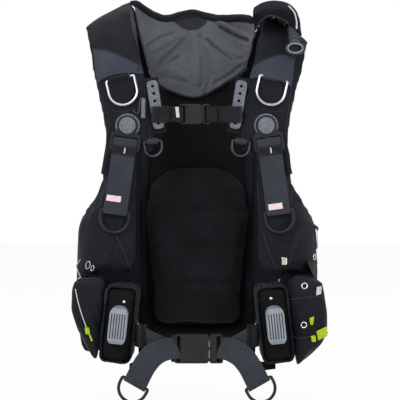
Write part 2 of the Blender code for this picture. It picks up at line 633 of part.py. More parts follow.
for side, tag in ((1, "l"), (-1, "r")):
    centre = (side * SWIVEL[0], BASE_Y, SWIVEL[1])
    top = BASE_Y - cap_low + 3.4
    lathe(f"swivel_base_{tag}", [(0, top), (CAP_R - 2, top), (CAP_R, top - 1.4), (CAP_R, BASE_Y - cap_low),
                                 (POST_R, BASE_Y - cap_low), (POST_R, BASE_T), (DISC_R, BASE_T),
                                 (DISC_R, 0), (0, 0)],
          centre, (0, -1, 0), GREY_PLASTIC, 32)
    ring = arc((0, 0), 17.0, 208, -28, 14)
    edge = ring + [(FRAME_W / 2, -15), (FRAME_W / 2, -FRAME_LOW + 3), (FRAME_W / 2 - 3, -FRAME_LOW),
                   (-FRAME_W / 2 + 3, -FRAME_LOW), (-FRAME_W / 2, -FRAME_LOW + 3), (-FRAME_W / 2, -15)]
    holes = [arc((0, 0), POST_R + GAP, 0, 345, 23), rounded(WEB_W + 2, 6.0, 1.5, 2, (0, -21.5)),
             rounded(WEB_W + 2, 6.0, 1.5, 2, (0, -32.5))]
    outline(f"swivel_buckle_{tag}", edge, FRAME_T, facing(centre[0], frame_mid, centre[2],
                                                          SWIVEL_TILT * side),
            BLACK_PLASTIC, holes)
    across = Matrix.Rotation(math.radians(SWIVEL_TILT * side), 3, "Y") @ Vector(X_AXIS)
    end = -TAIL_LEN
    bar_y = tail_y + curl
    path = [(frame_mid + 0.8, -21.0), (frame_mid - 1.2, -21.2), (tail_y + 0.6, -22.6), (tail_y, -25),
            (tail_y, -60),
            (tail_y - 0.5, -95), (tail_y, end)]
    path += [(bar_y - curl * math.cos(math.radians(a)), end - curl * math.sin(math.radians(a)))
             for a in (35, 70, 105, 140, 175)]
    path += [(bar_y + curl - 0.2, end + 2), (bar_y + curl - 1.6, end + 5.2), (bar_y + 0.2, end + 8.2),
             (tail_y + WEB_T + 0.6, end + 12), (tail_y + WEB_T + 0.6, end + 22)]
    ribbon(f"strap_tail_{tag}", [swung(side, 0, y, z) for y, z in path], across, WEB_W, WEB_T, WEBBING)
    ring_spot = swung(side, 0, bar_y, end)
    d_ring(f"tail_ring_{tag}", ring_spot, across, (0, 0, -1), PULL_W, 38, PULL_WIRE, BLACK_PLASTIC)
    load_y = BASE_Y - 0.8 - WEB_T / 2
    path = [(load_y, -27), (load_y, -50), (load_y + 1.5, -85), (load_y + 4, -115), (load_y + 5.2, -135),
            (load_y + 5.2, -158)]
    ribbon(f"load_strap_{tag}", [swung(side, 0, y, z) for y, z in path], across, WEB_W, WEB_T, WEBBING)

# Side-release buckles: socket with side windows and strap bar, plug with guide and two prongs
PRONG = 4.0


def buckle_socket(name, left, mouth, spot_y, spot_z, height, thick, web):
    """Socket with its mouth towards +X and a bar for webbing at the other end."""
    body = outline(name, rounded(mouth - left, height, 5, 3, ((mouth + left) / 2, 0)), thick,
                   facing(0, spot_y, spot_z), BLACK_PLASTIC)
    wall = 2.6
    cavity = box("cavity", (left + 13, spot_y - thick / 2 + wall, spot_z - height / 2 + wall),
                 (mouth + 5, spot_y + thick / 2 - wall, spot_z + height / 2 - wall))
    boolean(body, cutter(cavity), "DIFFERENCE")
    span = mouth - left - 13
    windows = box("windows", (left + 13 + span * 0.2, spot_y - thick / 2 + wall, spot_z - height),
                  (left + 13 + span * 0.62, spot_y + thick / 2 - wall, spot_z + height))
    boolean(body, cutter(windows), "DIFFERENCE")
    slot = box("strap_slot", (left + 5, spot_y - thick, spot_z - web / 2 - 1),
               (left + 10.5, spot_y + thick, spot_z + web / 2 + 1))
    boolean(body, cutter(slot), "DIFFERENCE")
    relief = [box("relief", (left - 5, spot_y + s * thick / 2 - s * 3.2, spot_z - web / 2 - 1),
                  (left + 8, spot_y + s * thick, spot_z + web / 2 + 1)) for s in (-1, 1)]
    for tool in relief:
        boolean(body, cutter(tool), "DIFFERENCE")
    return body


def buckle_plug(name, tip, mouth, right, spot_y, spot_z, height, thick, web):
    """Plug whose prongs lie in the socket, with a strap bar at the +X end."""
    wall = 2.6 + 0.5
    high = height / 2 - wall
    body = outline(name, rounded(right - mouth - 0.4, height, 4, 3, ((right + mouth + 0.4) / 2, 0)), thick,
                   facing(0, spot_y, spot_z), BLACK_PLASTIC)
    inner = thick / 2 - wall
    for low, top in ((-high, -high + PRONG), (-PRONG / 2, PRONG / 2), (high - PRONG, high)):
        reach = tip if abs(low + top) > 1 else tip + 6
        prong = box("prong", (reach, spot_y - inner, spot_z + low), (mouth + 4, spot_y + inner, spot_z + top))
        boolean(body, cutter(prong), "UNION")
        if abs(low + top) > 1:
            inward = -1 if low > 0 else 1
            edge = spot_z + (low if low > 0 else top)
            ends = sorted((edge, edge + inward * 2.2))
            head = box("prong_head", (reach, spot_y - inner, ends[0] - 0.4),
                       (reach + 9, spot_y + inner, ends[1] + 0.4))
            boolean(body, cutter(head), "UNION")
    slot = box("plug_slot", (right - 10.5, spot_y - thick, spot_z - web / 2 - 1),
               (right - 5, spot_y + thick, spot_z + web / 2 + 1))
    boolean(body, cutter(slot), "DIFFERENCE")
    relief = [box("plug_relief", (right - 8, spot_y + s * thick / 2 - s * 3.2, spot_z - web / 2 - 1),
                  (right + 5, spot_y + s * thick, spot_z + web / 2 + 1)) for s in (-1, 1)]
    for tool in relief:
        boolean(body, cutter(tool), "DIFFERENCE")
    return body


def threaded(edge, outward, spot_y, thick, web_t):
    """Plan points of webbing going behind a strap bar, through its slot and back out in front."""
    half = thick / 2 - 3.2
    off = half + 0.4 + web_t / 2
    turn = edge - outward * (5 + 1.0 + web_t / 2)
    side_in = [(edge + outward * 6, off), (edge - outward * 4.4, off),
               (edge - outward * (5.2 + web_t / 2), off - 0.5),
               (turn, off - 2.0)]
    return [(x, spot_y + y) for x, y in side_in] + [(x, spot_y - y) for x, y in reversed(side_in)]


# Waist buckle, straps with curled tails and oval pull rings
WAIST = (-36.6, 19.4, 41.8)
waist_tip = WAIST[0] + 17
buckle_socket("waist_socket", WAIST[0], WAIST[1], BUCKLE_Y, BUCKLE_Z, BUCKLE_H, BUCKLE_T, WEB_W)
buckle_plug("waist_plug", waist_tip, WAIST[1], WAIST[2], BUCKLE_Y, BUCKLE_Z, BUCKLE_H, BUCKLE_T, WEB_W)
for side, tag, edge in ((1, "l", WAIST[2]), (-1, "r", -WAIST[0])):
    lean = Vector((side * math.tan(math.radians(HOLSTER_TILT)), 0, 1))
    wall_x = HOLSTER_X - HOLSTER[0] / 2 / math.cos(math.radians(HOLSTER_TILT)) - GAP - WEB_T / 2 - 0.3
    wall_x -= (HOLSTER_Z + 166) * math.tan(math.radians(HOLSTER_TILT))
    turn_in = threaded(edge, 1, BUCKLE_Y, BUCKLE_T, WEB_T)
    path = [(wall_x, -130, -166), (wall_x, -170, -166), (wall_x - 0.6, -182, -167), (wall_x - 5, -190, -168),
            (wall_x - 16, -195, -171), (wall_x - 28, -198, -177)]
    across = [lean, lean, lean, (0, 0, 1), (0, 0, 1), (0.05 * side, 0, 1)]
    path += [(x, y, BUCKLE_Z) for x, y in turn_in]
    across += [(0, 0, 1)] * len(turn_in)
    tail = [(58, -215, -190), (70, -217, -197), (81, -219.5, -210), (90, -222, -226), (97, -224, -240)]
    tail_across = [(0.25, 0, 1), (0.5, 0, 0.87), (0.7, 0, 0.72), (0.84, 0, 0.54), (0.88, 0, 0.47)]
    path += tail
    across += [(side * a, b, c) for a, b, c in tail_across]
    along = (Vector(tail[-1]) - Vector(tail[-2])).normalized()
    bar_curl = PULL_WIRE / 2 + GAP + 0.4 + WEB_T / 2
    bar = Vector(tail[-1]) + Vector((0, bar_curl, 0))
    for a in (35, 70, 105, 140, 175):
        spot = bar + along * bar_curl * math.sin(math.radians(a)) - Vector((0, bar_curl,
                                                                            0)) * math.cos(math.radians(a))
        path.append(tuple(spot))
        across.append((side * tail_across[-1][0], 0, tail_across[-1][2]))
    ribbon(f"waist_strap_{tag}", [(side * x, y, z) for x, y, z in path],
           [Vector(a) for a in across], WEB_W, WEB_T, WEBBING)
    lie = tail_across[-1]
    d_ring(f"waist_pull_ring_{tag}", (side * bar.x, bar.y, bar.z), (side * lie[0], 0, lie[2]),
           (side * lie[2], 0, -lie[0]), PULL_W, 36, PULL_WIRE, BLACK_PLASTIC)

# Chest strap: perforated rails, sliding clips, webbing and buckle
RAIL_TILT = 9.0
RAIL = (18.0, 78.0, 3.0)
RAIL_SPOT = (66.5, -184.1, 202.0)
CHEST = (-29.0, 8.0, 22.0)
CHEST_H = 32.0
CHEST_T = 11.0
CHEST_WEB_T = 1.5
for side, tag in ((1, "l"), (-1, "r")):
    holes = [arc((0, z), 2.6, 0, 315, 7) for z in (-30, -18, -6, 6, 18, 30)]
    outline(f"sternum_rail_{tag}", rounded(RAIL[0], RAIL[1], 6, 3), RAIL[2],
            facing(side * RAIL_SPOT[0], RAIL_SPOT[1], RAIL_SPOT[2], RAIL_TILT * side), GREY_PLASTIC, holes)
    rear = RAIL_SPOT[1] + RAIL[2] / 2 + 0.5
    front = RAIL_SPOT[1] - RAIL[2] / 2 - 0.5
    clip = [(46.5, rear + 2.2), (46.5, front - 2.4), (73, front - 2.4), (73, front), (50.5, front),
            (50.5, rear),
            (64, rear), (64, rear + 2.2)]
    outline(f"sternum_slider_{tag}", [(side * x, y) for x, y in clip], 26,
            Matrix.Translation(mm(0, 0, STERNUM_Z)), BLACK_PLASTIC)
CHEST_Y = front - 2.4 - 0.4 - CHEST_WEB_T / 2 + CHEST_T / 2 - 3.2 + 0.4 + CHEST_WEB_T / 2 - 4.6
buckle_socket("sternum_socket", CHEST[0], CHEST[1], CHEST_Y, STERNUM_Z, CHEST_H, CHEST_T, STERNUM_W)
buckle_plug("sternum_plug", CHEST[0] + 16, CHEST[1], CHEST[2], CHEST_Y, STERNUM_Z, CHEST_H, CHEST_T,
            STERNUM_W)
for side, tag, edge in ((1, "l", CHEST[2]), (-1, "r", -CHEST[0])):
    turn_in = threaded(edge, 1, CHEST_Y, CHEST_T, CHEST_WEB_T)
    start = front - 2.4 - 0.4 - CHEST_WEB_T / 2
    path = [(68, start), (52, start), (46, start)] + turn_in + [(edge + 10, turn_in[-1][1])]
    ribbon(f"sternum_strap_{tag}", [(side * x, y, STERNUM_Z) for x, y in path], Z_AXIS, STERNUM_W,
           CHEST_WEB_T, WEBBING)

# Shoulder dump toggle on its cord, wearer's right
cylinder("dump_toggle", (-86.0, -188.8, 180), (-86.0, -188.8, 212), 3.6, GREY_PLASTIC, 14)

# Inflator: ribbed hose over the wearer's left shoulder, body with two buttons, mouthpiece, and a flap over it
HOSE_PATH = [(112, -26.0, 262), (112, -26.0, 285), (114, -31, 318), (118.5, -46, 345), (127, -82, 366.6),
             (128.5, -101, 364), (133, -115, 357.5)]
BODY_A = Vector((134.1, -117.2, 355.9))
BODY_B = Vector((154.0, -146.0, 336.0))
BODY_R = 12.5
body_dir = (BODY_B - BODY_A).normalized()


def smooth(points, count):
    """Even points along a smooth curve through given points."""
    spots = [Vector(p) for p in points]
    spots = [2 * spots[0] - spots[1]] + spots + [2 * spots[-1] - spots[-2]]
    fine = []
    for i in range(1, len(spots) - 2):
        p0, p1, p2, p3 = spots[i - 1:i + 3]
        for k in range(20):
            t = k / 20
            fine.append(0.5 * (2 * p1 + (p2 - p0) * t + (2 * p0 - 5 * p1 + 4 * p2 - p3) * t * t
                               + (3 * p1 - p0 - 3 * p2 + p3) * t ** 3))
    fine.append(spots[-2])
    lengths = [0.0]
    for a, b in zip(fine, fine[1:]):
        lengths.append(lengths[-1] + (b - a).length)
    even = []
    for k in range(count):
        goal = lengths[-1] * k / (count - 1)
        j = max(i for i in range(len(lengths) - 1) if lengths[i] <= goal + 1e-9)
        share = (goal - lengths[j]) / max(lengths[j + 1] - lengths[j], 1e-9)
        even.append(fine[j].lerp(fine[j + 1], share))
    return even


def to_mesh(obj):
    """Replace a curve object by its welded mesh."""
    bpy.context.view_layer.update()
    graph = bpy.context.evaluated_depsgraph_get()
    mesh = bpy.data.meshes.new_from_object(obj.evaluated_get(graph))
    name = obj.name
    place = obj.matrix_world.copy()
    mat = obj.data.materials[0] if obj.data.materials else None
    bpy.data.objects.remove(obj, do_unlink=True)
    bm = bmesh.new()
    bm.from_mesh(mesh)
    bpy.data.meshes.remove(mesh)
    bmesh.ops.remove_doubles(bm, verts=bm.verts, dist=1e-6)
    made = finish_mesh(name, bm, mat)
    made.matrix_world = place
    return made


hose_points = smooth(HOSE_PATH, 2 * HOSE_RIBS)
hose = wire("inflator_hose", hose_points, HOSE_R, RUBBER, cyclic=False, resolution=3)
for i, point in enumerate(hose.data.splines[0].points):
    point.radius = 1.0 if i % 2 == 0 else 0.88
hose = to_mesh(hose)
bore_points = [hose_points[0] * 2 - hose_points[1]] + hose_points[1:-1:3] + [hose_points[-1] * 2
                                                                             - hose_points[-2]]
bore = to_mesh(wire("hose_bore", bore_points, HOSE_BORE, RUBBER, cyclic=False, resolution=2))
boolean(hose, cutter(bore), "DIFFERENCE")

body = cylinder("inflator_body", BODY_A, BODY_B, BODY_R, GLOSS, 28)
bevel(body, 1.6, 2)
toward = Vector((0, -1, 0))
press = (toward - body_dir * toward.dot(body_dir)).normalized()
for name, share, radius in (("inflate_button", 0.28, 5.5), ("deflate_button", 0.73, 5.0)):
    middle = BODY_A.lerp(BODY_B, share)
    well = cylinder("button_well", middle + press * 4, middle + press * 30, radius + GAP, sides=20)
    boolean(body, cutter(well), "DIFFERENCE")
    knob = cylinder(name, middle + press * 8.5, middle + press * (BODY_R + 4.5), radius, GREY_PLASTIC, 20)
    bevel(knob, 0.8, 1)

MOUTH = (158.0, -172.0, 293.0)
MOUTH_SIZE = (31.0, 21.0)
oval = [(MOUTH_SIZE[0] / 2 * math.cos(math.tau * i / 28), MOUTH_SIZE[1] / 2 * math.sin(math.tau * i / 28))
        for i in range(28)]
mouthpiece = outline("mouthpiece", oval, 20, facing(*MOUTH), RUBBER)
neck_start = BODY_B + body_dir * 5.6
neck = cylinder("neck", neck_start, (158, -170, 297), 8.4, sides=24)
boolean(mouthpiece, cutter(neck), "UNION")
mouth_bore = outline("mouth_bore", [(x * 0.72, y * 0.66) for x, y in oval], 20,
                     facing(MOUTH[0], MOUTH[1] - 7, MOUTH[2]))
boolean(mouthpiece, cutter(mouth_bore), "DIFFERENCE")

FLAP_T = 3.0
FLAP_PATH = [(-38, 356), (-52, 371.6), (-68, 379.1), (-86, 381.2), (-106, 378.6), (-122, 372), (-134, 365)]
FLAP_SECTION = [(95, -12), (106, -5), (118, -1), (131, 0), (145, -2), (157, -8), (166, -20), (169, -38)]
bm = bmesh.new()
grid = [[bm.verts.new(mm(x, y, z + fall)) for x, fall in FLAP_SECTION] for y, z in FLAP_PATH]
for low, high in zip(grid, grid[1:]):
    for i in range(len(low) - 1):
        bm.faces.new((low[i], low[i + 1], high[i + 1], high[i]))
flap = finish_mesh("inflator_flap", bm, PANEL)
solid = flap.modifiers.new("thickness", "SOLIDIFY")
solid.thickness = FLAP_T * 0.001
solid.offset = 0.0

# Zip slider on the wearer's left wing
zip_body = box("zip_slider", (136, -183.6, -56), (145, -179.2, -43), STEEL)
bevel(zip_body, 1.2, 1)
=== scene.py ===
"""Dresses the buoyancy jacket: padded cloth, webbing, moulded buckles, steel rings and the studio."""
import logging
import math
from dataclasses import dataclass, field
from enum import Enum
from typing import Iterable, Sequence

import bmesh
import bpy
from mathutils import Matrix, Vector, noise
from mathutils.bvhtree import BVHTree


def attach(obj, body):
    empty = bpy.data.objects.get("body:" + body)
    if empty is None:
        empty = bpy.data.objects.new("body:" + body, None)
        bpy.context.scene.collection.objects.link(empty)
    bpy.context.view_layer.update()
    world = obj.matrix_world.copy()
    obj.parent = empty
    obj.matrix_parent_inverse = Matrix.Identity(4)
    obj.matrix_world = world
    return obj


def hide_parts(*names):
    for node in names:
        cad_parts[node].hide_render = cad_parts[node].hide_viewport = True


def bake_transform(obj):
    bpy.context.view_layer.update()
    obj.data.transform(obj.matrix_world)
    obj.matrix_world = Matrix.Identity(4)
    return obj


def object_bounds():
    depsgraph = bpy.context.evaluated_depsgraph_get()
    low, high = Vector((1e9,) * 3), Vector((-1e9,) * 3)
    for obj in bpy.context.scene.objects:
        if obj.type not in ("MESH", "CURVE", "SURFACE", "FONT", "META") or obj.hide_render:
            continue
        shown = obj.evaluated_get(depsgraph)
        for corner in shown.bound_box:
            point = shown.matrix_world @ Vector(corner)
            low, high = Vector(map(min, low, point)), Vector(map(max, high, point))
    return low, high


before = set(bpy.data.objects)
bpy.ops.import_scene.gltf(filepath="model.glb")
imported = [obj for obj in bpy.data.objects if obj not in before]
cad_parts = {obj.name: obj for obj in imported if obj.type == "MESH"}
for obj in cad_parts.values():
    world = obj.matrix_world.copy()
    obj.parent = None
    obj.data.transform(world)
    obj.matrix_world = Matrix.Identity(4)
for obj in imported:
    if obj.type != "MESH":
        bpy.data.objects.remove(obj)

LOG = logging.getLogger("jacket")
CAD_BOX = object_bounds()
UV_NAME = "cloth"          # texture map of every cloth piece, in millimetres

# Camera facts shared by the studio and by everything that is placed by a pixel of the photograph
EYE = Vector((0.005, -2.35, 0.049))
LENS = 121.5
SENSOR = 36.0
IMAGE = 400.0
PIXEL = SENSOR / LENS / IMAGE
MIDDLE = IMAGE / 2

Point = tuple[float, float, float]
Pixel = tuple[float, float]


def mm(*values: float) -> Vector:
    """A point given in millimetres."""
    return Vector(values) * 0.001


def linear(code: str) -> tuple[float, float, float, float]:
    """Turns an sRGB hex colour to linear light.

    Args:
        code: six hex digits.
    Returns:
        Linear red, green, blue and an alpha of 1.
    """
    parts = [int(code[i:i + 2], 16) / 255 for i in (0, 2, 4)]
    flat = [p / 12.92 if p <= 0.04045 else ((p + 0.055) / 1.055) ** 2.4 for p in parts]
    return (flat[0], flat[1], flat[2], 1.0)


def add_node(tree: bpy.types.NodeTree, kind: str, inputs: dict | None = None,
             **settings: object) -> bpy.types.Node:
    """Adds one shader node.

    Args:
        tree: node tree that takes it.
        kind: node type without its ShaderNode prefix.
        inputs: socket name or number, to a value or to the socket that feeds it.
        settings: properties of the node.
    Returns:
        The node.
    """
    node = tree.nodes.new("ShaderNode" + kind)
    for name, value in settings.items():
        setattr(node, name, value)
    for name, value in (inputs or {}).items():
        if isinstance(value, bpy.types.NodeSocket):
            tree.links.new(value, node.inputs[name])
        else:
            node.inputs[name].default_value = value
    return node


class Weave(Enum):
    """How a cloth was made."""

    PLAIN = "plain"
    TWILL = "twill"
    MESH = "mesh"
    SATIN = "satin"
    KNIT = "knit"


@dataclass(frozen=True)
class Finish:
    """A surface finish that becomes one material."""

    name: str
    colour: str
    roughness: float = 0.6

    def material(self) -> bpy.types.Material:
        """The material of this finish, made on first use."""
        found = bpy.data.materials.get(self.name)
        if found is not None:
            return found
        made = bpy.data.materials.new(self.name)
        made.use_nodes = True
        shader = made.node_tree.nodes["Principled BSDF"]
        shader.inputs["Base Color"].default_value = linear(self.colour)
        shader.inputs["Roughness"].default_value = self.roughness
        self.paint(made.node_tree, shader)
        made.diffuse_color = linear(self.colour)
        return made

    def paint(self, tree: bpy.types.NodeTree, shader: bpy.types.Node) -> None:
        """Adds the finish's own nodes; a plain finish has none."""


@dataclass(frozen=True)
class ClothFinish(Finish):
    """Woven, knitted or meshed cloth drawn on the piece's own map in millimetres."""

    shade: str = "0a0a0b"
    thread_mm: float = 1.6
    weave: Weave = Weave.PLAIN
    relief: float = 0.5
    sheen: float = 0.04
    fade: float = 0.25
    gleam: float = 0.1

    def paint(self, tree: bpy.types.NodeTree, shader: bpy.types.Node) -> None:
        """Draws the threads, the slow shading of handled cloth, and the nap.

        Args:
            tree: the material's nodes.
            shader: its surface shader.
        """
        uv = add_node(tree, "UVMap", uv_map=UV_NAME).outputs["UV"]
        where = add_node(tree, "TexCoord").outputs["Object"]
        height = self.threads(tree, uv)
        slow = add_node(tree, "TexNoise", {"Vector": where, "Scale": 22.0, "Detail": 4.0})
        fine = add_node(tree, "TexNoise", {"Vector": where, "Scale": 420.0, "Detail": 2.0})
        base = add_node(tree, "Mix", {"Factor": height, "A": linear(self.shade), "B": linear(self.colour)},
                        data_type="RGBA")
        tone = add_node(tree, "MapRange", {"Value": slow.outputs["Fac"], "From Min": 0.3, "From Max": 0.72,
                                           "To Min": 1.0 - self.fade, "To Max": 1.0 + self.fade})
        lint = add_node(tree, "MapRange", {"Value": fine.outputs["Fac"], "From Min": 0.3, "From Max": 0.7,
                                           "To Min": 0.86, "To Max": 1.14})
        both = add_node(tree, "Math", {0: tone.outputs["Result"], 1: lint.outputs["Result"]},
                        operation="MULTIPLY")
        final = add_node(tree, "VectorMath", {0: base.outputs["Result"], "Scale": both.outputs["Value"]},
                         operation="SCALE")
        tree.links.new(final.outputs["Vector"], shader.inputs["Base Color"])
        bump = add_node(tree, "Bump", {"Height": height, "Strength": self.relief,
                                       "Distance": self.thread_mm * 0.00035})
        tree.links.new(bump.outputs["Normal"], shader.inputs["Normal"])
        shader.inputs["Sheen Weight"].default_value = self.sheen
        shader.inputs["Sheen Roughness"].default_value = 0.45
        shader.inputs["Specular IOR Level"].default_value = self.gleam

    def threads(self, tree: bpy.types.NodeTree, uv: bpy.types.NodeSocket) -> bpy.types.NodeSocket:
        """Height of the threads from 0, low, to 1, high.

        Args:
            tree: the material's nodes.
            uv: the cloth map, in millimetres.
        Returns:
            The socket that carries the height.
        """
        pitch = 0.31416 / self.thread_mm
        if self.weave is Weave.TWILL:
            turned = add_node(tree, "Mapping", {"Vector": uv, "Rotation": (0.0, 0.0, math.radians(52.0))})
            ridge = add_node(tree, "TexWave", {"Vector": turned.outputs["Vector"], "Scale": pitch,
                                               "Distortion": 0.6, "Detail": 1.0})
            cross = add_node(tree, "TexWave", {"Vector": uv, "Scale": pitch * 1.7}, bands_direction="Y")
            share = add_node(tree, "Mix", {"Factor": 0.35, "A": ridge.outputs["Fac"],
                                           "B": cross.outputs["Fac"]})
            return share.outputs["Result"]
        if self.weave is Weave.MESH:
            turned = add_node(tree, "Mapping", {"Vector": uv, "Rotation": (0.0, 0.0, math.radians(45.0)),
                                                "Scale": (1.0, 1.18, 1.0)})
            cell = add_node(tree, "TexVoronoi", {"Vector": turned.outputs["Vector"],
                                                 "Scale": 1.0 / self.thread_mm,
                                                 "Randomness": 0.12}, voronoi_dimensions="2D")
            rim = add_node(tree, "MapRange", {"Value": cell.outputs["Distance"], "From Min": 0.2,
                                              "From Max": 0.46})
            return rim.outputs["Result"]
        if self.weave is Weave.SATIN:
            lines = add_node(tree, "TexWave", {"Vector": uv, "Scale": pitch, "Distortion": 1.0,
                                               "Detail": 2.0},
                             bands_direction="Y")
            return lines.outputs["Fac"]
        if self.weave is Weave.KNIT:
            loops = add_node(tree, "TexVoronoi", {"Vector": uv, "Scale": 1.0 / self.thread_mm,
                                                  "Randomness": 0.5},
                             voronoi_dimensions="2D", feature="SMOOTH_F1")
            return loops.outputs["Distance"]
        warp = add_node(tree, "TexWave", {"Vector": uv, "Scale": pitch}, bands_direction="X")
        weft = add_node(tree, "TexWave", {"Vector": uv, "Scale": pitch}, bands_direction="Y")
        over = add_node(tree, "TexChecker", {"Vector": uv, "Scale": 1.0 / self.thread_mm})
        top = add_node(tree, "Mix", {"Factor": over.outputs["Fac"], "A": warp.outputs["Fac"],
                                     "B": weft.outputs["Fac"]})
        return top.outputs["Result"]


@dataclass(frozen=True)
class MouldedFinish(Finish):
    """Moulded plastic or rubber with a fine spark-eroded grain and a little handling wear."""

    speck: str = "000000"
    speck_share: float = 0.0
    grain_mm: float = 0.9
    relief: float = 0.25
    coat: float = 0.0
    gleam: float = 0.25

    def paint(self, tree: bpy.types.NodeTree, shader: bpy.types.Node) -> None:
        """Draws grain, specks and worn gloss.

        Args:
            tree: the material's nodes.
            shader: its surface shader.
        """
        where = add_node(tree, "TexCoord").outputs["Object"]
        grain = add_node(tree, "TexNoise", {"Vector": where, "Scale": 1000.0 / self.grain_mm, "Detail": 3.0})
        slow = add_node(tree, "TexNoise", {"Vector": where, "Scale": 60.0, "Detail": 5.0})
        cut = 0.72 - 0.3 * self.speck_share
        spots = add_node(tree, "MapRange", {"Value": grain.outputs["Fac"], "From Min": cut - 0.05,
                                            "From Max": cut + 0.05,
                                            "To Max": 1.0 if self.speck_share else 0.12})
        base = add_node(tree, "Mix", {"Factor": spots.outputs["Result"], "A": linear(self.colour),
                                      "B": linear(self.speck)}, data_type="RGBA")
        tone = add_node(tree, "MapRange", {"Value": slow.outputs["Fac"], "From Min": 0.3, "From Max": 0.7,
                                           "To Min": 0.86, "To Max": 1.14})
        final = add_node(tree, "VectorMath", {0: base.outputs["Result"], "Scale": tone.outputs["Result"]},
                         operation="SCALE")
        tree.links.new(final.outputs["Vector"], shader.inputs["Base Color"])
        gloss = add_node(tree, "MapRange", {"Value": slow.outputs["Fac"], "From Min": 0.3, "From Max": 0.7,
                                            "To Min": self.roughness * 0.8, "To Max": self.roughness * 1.2})
        tree.links.new(gloss.outputs["Result"], shader.inputs["Roughness"])
        bump = add_node(tree, "Bump", {"Height": grain.outputs["Fac"], "Strength": self.relief,
                                       "Distance": 0.0001})
        tree.links.new(bump.outputs["Normal"], shader.inputs["Normal"])
        shader.inputs["IOR"].default_value = 1.49
        shader.inputs["Specular IOR Level"].default_value = self.gleam
        shader.inputs["Coat Weight"].default_value = self.coat


@dataclass(frozen=True)
class MetalFinish(Finish):
    """Bare metal, tumbled or drawn, with hair scratches."""

    scratch_mm: float = 0.5

    def paint(self, tree: bpy.types.NodeTree, shader: bpy.types.Node) -> None:
        """Draws hair scratches and slightly uneven polish.

        Args:
            tree: the material's nodes.
            shader: its surface shader.
        """
        where = add_node(tree, "TexCoord").outputs["Object"]
        drawn = add_node(tree, "Mapping", {"Vector": where, "Scale": (1.0, 1.0, 0.08)})
        hair = add_node(tree, "TexNoise", {"Vector": drawn.outputs["Vector"],
                                           "Scale": 1000.0 / self.scratch_mm,
                                           "Detail": 2.0})
        slow = add_node(tree, "TexNoise", {"Vector": where, "Scale": 90.0, "Detail": 3.0})
        gloss = add_node(tree, "MapRange", {"Value": slow.outputs["Fac"], "From Min": 0.3, "From Max": 0.7,
                                            "To Min": self.roughness * 0.7, "To Max": self.roughness * 1.4})
        tree.links.new(gloss.outputs["Result"], shader.inputs["Roughness"])
        bump = add_node(tree, "Bump", {"Height": hair.outputs["Fac"], "Strength": 0.12, "Distance": 0.00005})
        tree.links.new(bump.outputs["Normal"], shader.inputs["Normal"])
        shader.inputs["Metallic"].default_value = 1.0


# Coated nylon pack cloth, plain woven: matt blue-black with a faint grid of threads
SHELL = ClothFinish("nylon_pack_cloth_woven", "22252d", 0.72, shade="0d0e12", thread_mm=1.5, fade=0.3)
# The same cloth on the black inner panels, nearly without blue
INNER = ClothFinish("nylon_lining_woven", "161617", 0.8, shade="0a0a0b", thread_mm=1.5, fade=0.3)
# Laminated stretch cloth: a smooth blue-grey face with a soft sheen
PANEL = ClothFinish("laminated_stretch_cloth", "3f4450", 0.62, shade="323742", thread_mm=1.0, relief=0.25,
                    sheen=0.08, weave=Weave.KNIT, fade=0.12)
# Darker laminate of the pockets: smooth, blue-black, with a soft gloss along its folds
SLATE = ClothFinish("laminated_cloth_dark", "1a1d25", 0.6, shade="121419", thread_mm=1.0, relief=0.25,
                    fade=0.3)
# Nearly black laminate of the inflator's flap, its colour darkened further as painted shade, and matt,
# because light falls on it from above
FLAP = ClothFinish("laminated_cloth_black_painted_shade", "0f1118", 0.8, shade="090a0e", thread_mm=1.0, relief=0.25,
                   fade=0.3,
                   sheen=0.02, gleam=0.04)
# Grey spacer mesh, warp knitted: pale threads round dark open cells
GREY_MESH = ClothFinish("spacer_mesh_grey_knitted", "6b6e72", 0.85, shade="3a3c3f", thread_mm=2.6,
                        weave=Weave.MESH,
                        relief=0.7, sheen=0.05, fade=0.16)
# Black airflow mesh of the back pad; cells drawn a little coarse so that they show
BLACK_MESH = ClothFinish("spacer_mesh_black_knitted", "1f2125", 0.8, shade="060607", thread_mm=3.6,
                         weave=Weave.MESH,
                         relief=0.9, sheen=0.05, fade=0.3)
# Polyester webbing, twill woven: slanting ribs 3 mm apart
WEBBING = ClothFinish("polyester_webbing_twill", "43474f", 0.6, shade="22252a", thread_mm=3.0,
                      weave=Weave.TWILL,
                      relief=0.7, sheen=0.05, fade=0.15)
# Black webbing of the harness and the band
BLACK_WEB = ClothFinish("nylon_webbing_black", "26272a", 0.62, shade="0f1011", thread_mm=3.0,
                        weave=Weave.TWILL,
                        relief=0.7, sheen=0.04, fade=0.15)
# Folded binding tape, ribbed satin
BINDING = ClothFinish("binding_tape_satin", "33363d", 0.6, shade="1b1d21", thread_mm=1.4, weave=Weave.SATIN,
                      relief=0.5, sheen=0.055, fade=0.15)
# Retro-reflective piping: pale grey beaded film on cloth
REFLECT = ClothFinish("reflective_film_beaded", "dcdde0", 0.34, shade="b4b6ba", thread_mm=0.9,
                      weave=Weave.KNIT,
                      relief=0.3, sheen=0.0, fade=0.06)
# Fluorescent polyester tape, ribbed
NEON = ClothFinish("fluorescent_tape_ribbed", "c0e02c", 0.55, shade="7f9a16", thread_mm=2.0, weave=Weave.MESH,
                   relief=0.5, sheen=0.05, fade=0.1)
# Woven satin care tag, blank, pale with a rosy cast
TAG = ClothFinish("woven_tag_satin", "f3e3e6", 0.55, shade="e2bcc4", thread_mm=1.2, weave=Weave.SATIN,
                  relief=0.2, sheen=0.05, fade=0.05)
# Sewing thread, bonded nylon, a shade paler than the cloth
THREAD = ClothFinish("bonded_nylon_thread", "5a5d64", 0.6, shade="33353a", thread_mm=0.8, weave=Weave.SATIN,
                     relief=0.4, sheen=0.05, fade=0.1)
# Acetal copolymer, injection moulded black with a fine satin grain
ACETAL = MouldedFinish("acetal_black_moulded", "1b1c1e", 0.38, speck="3a3b3e", grain_mm=0.7)
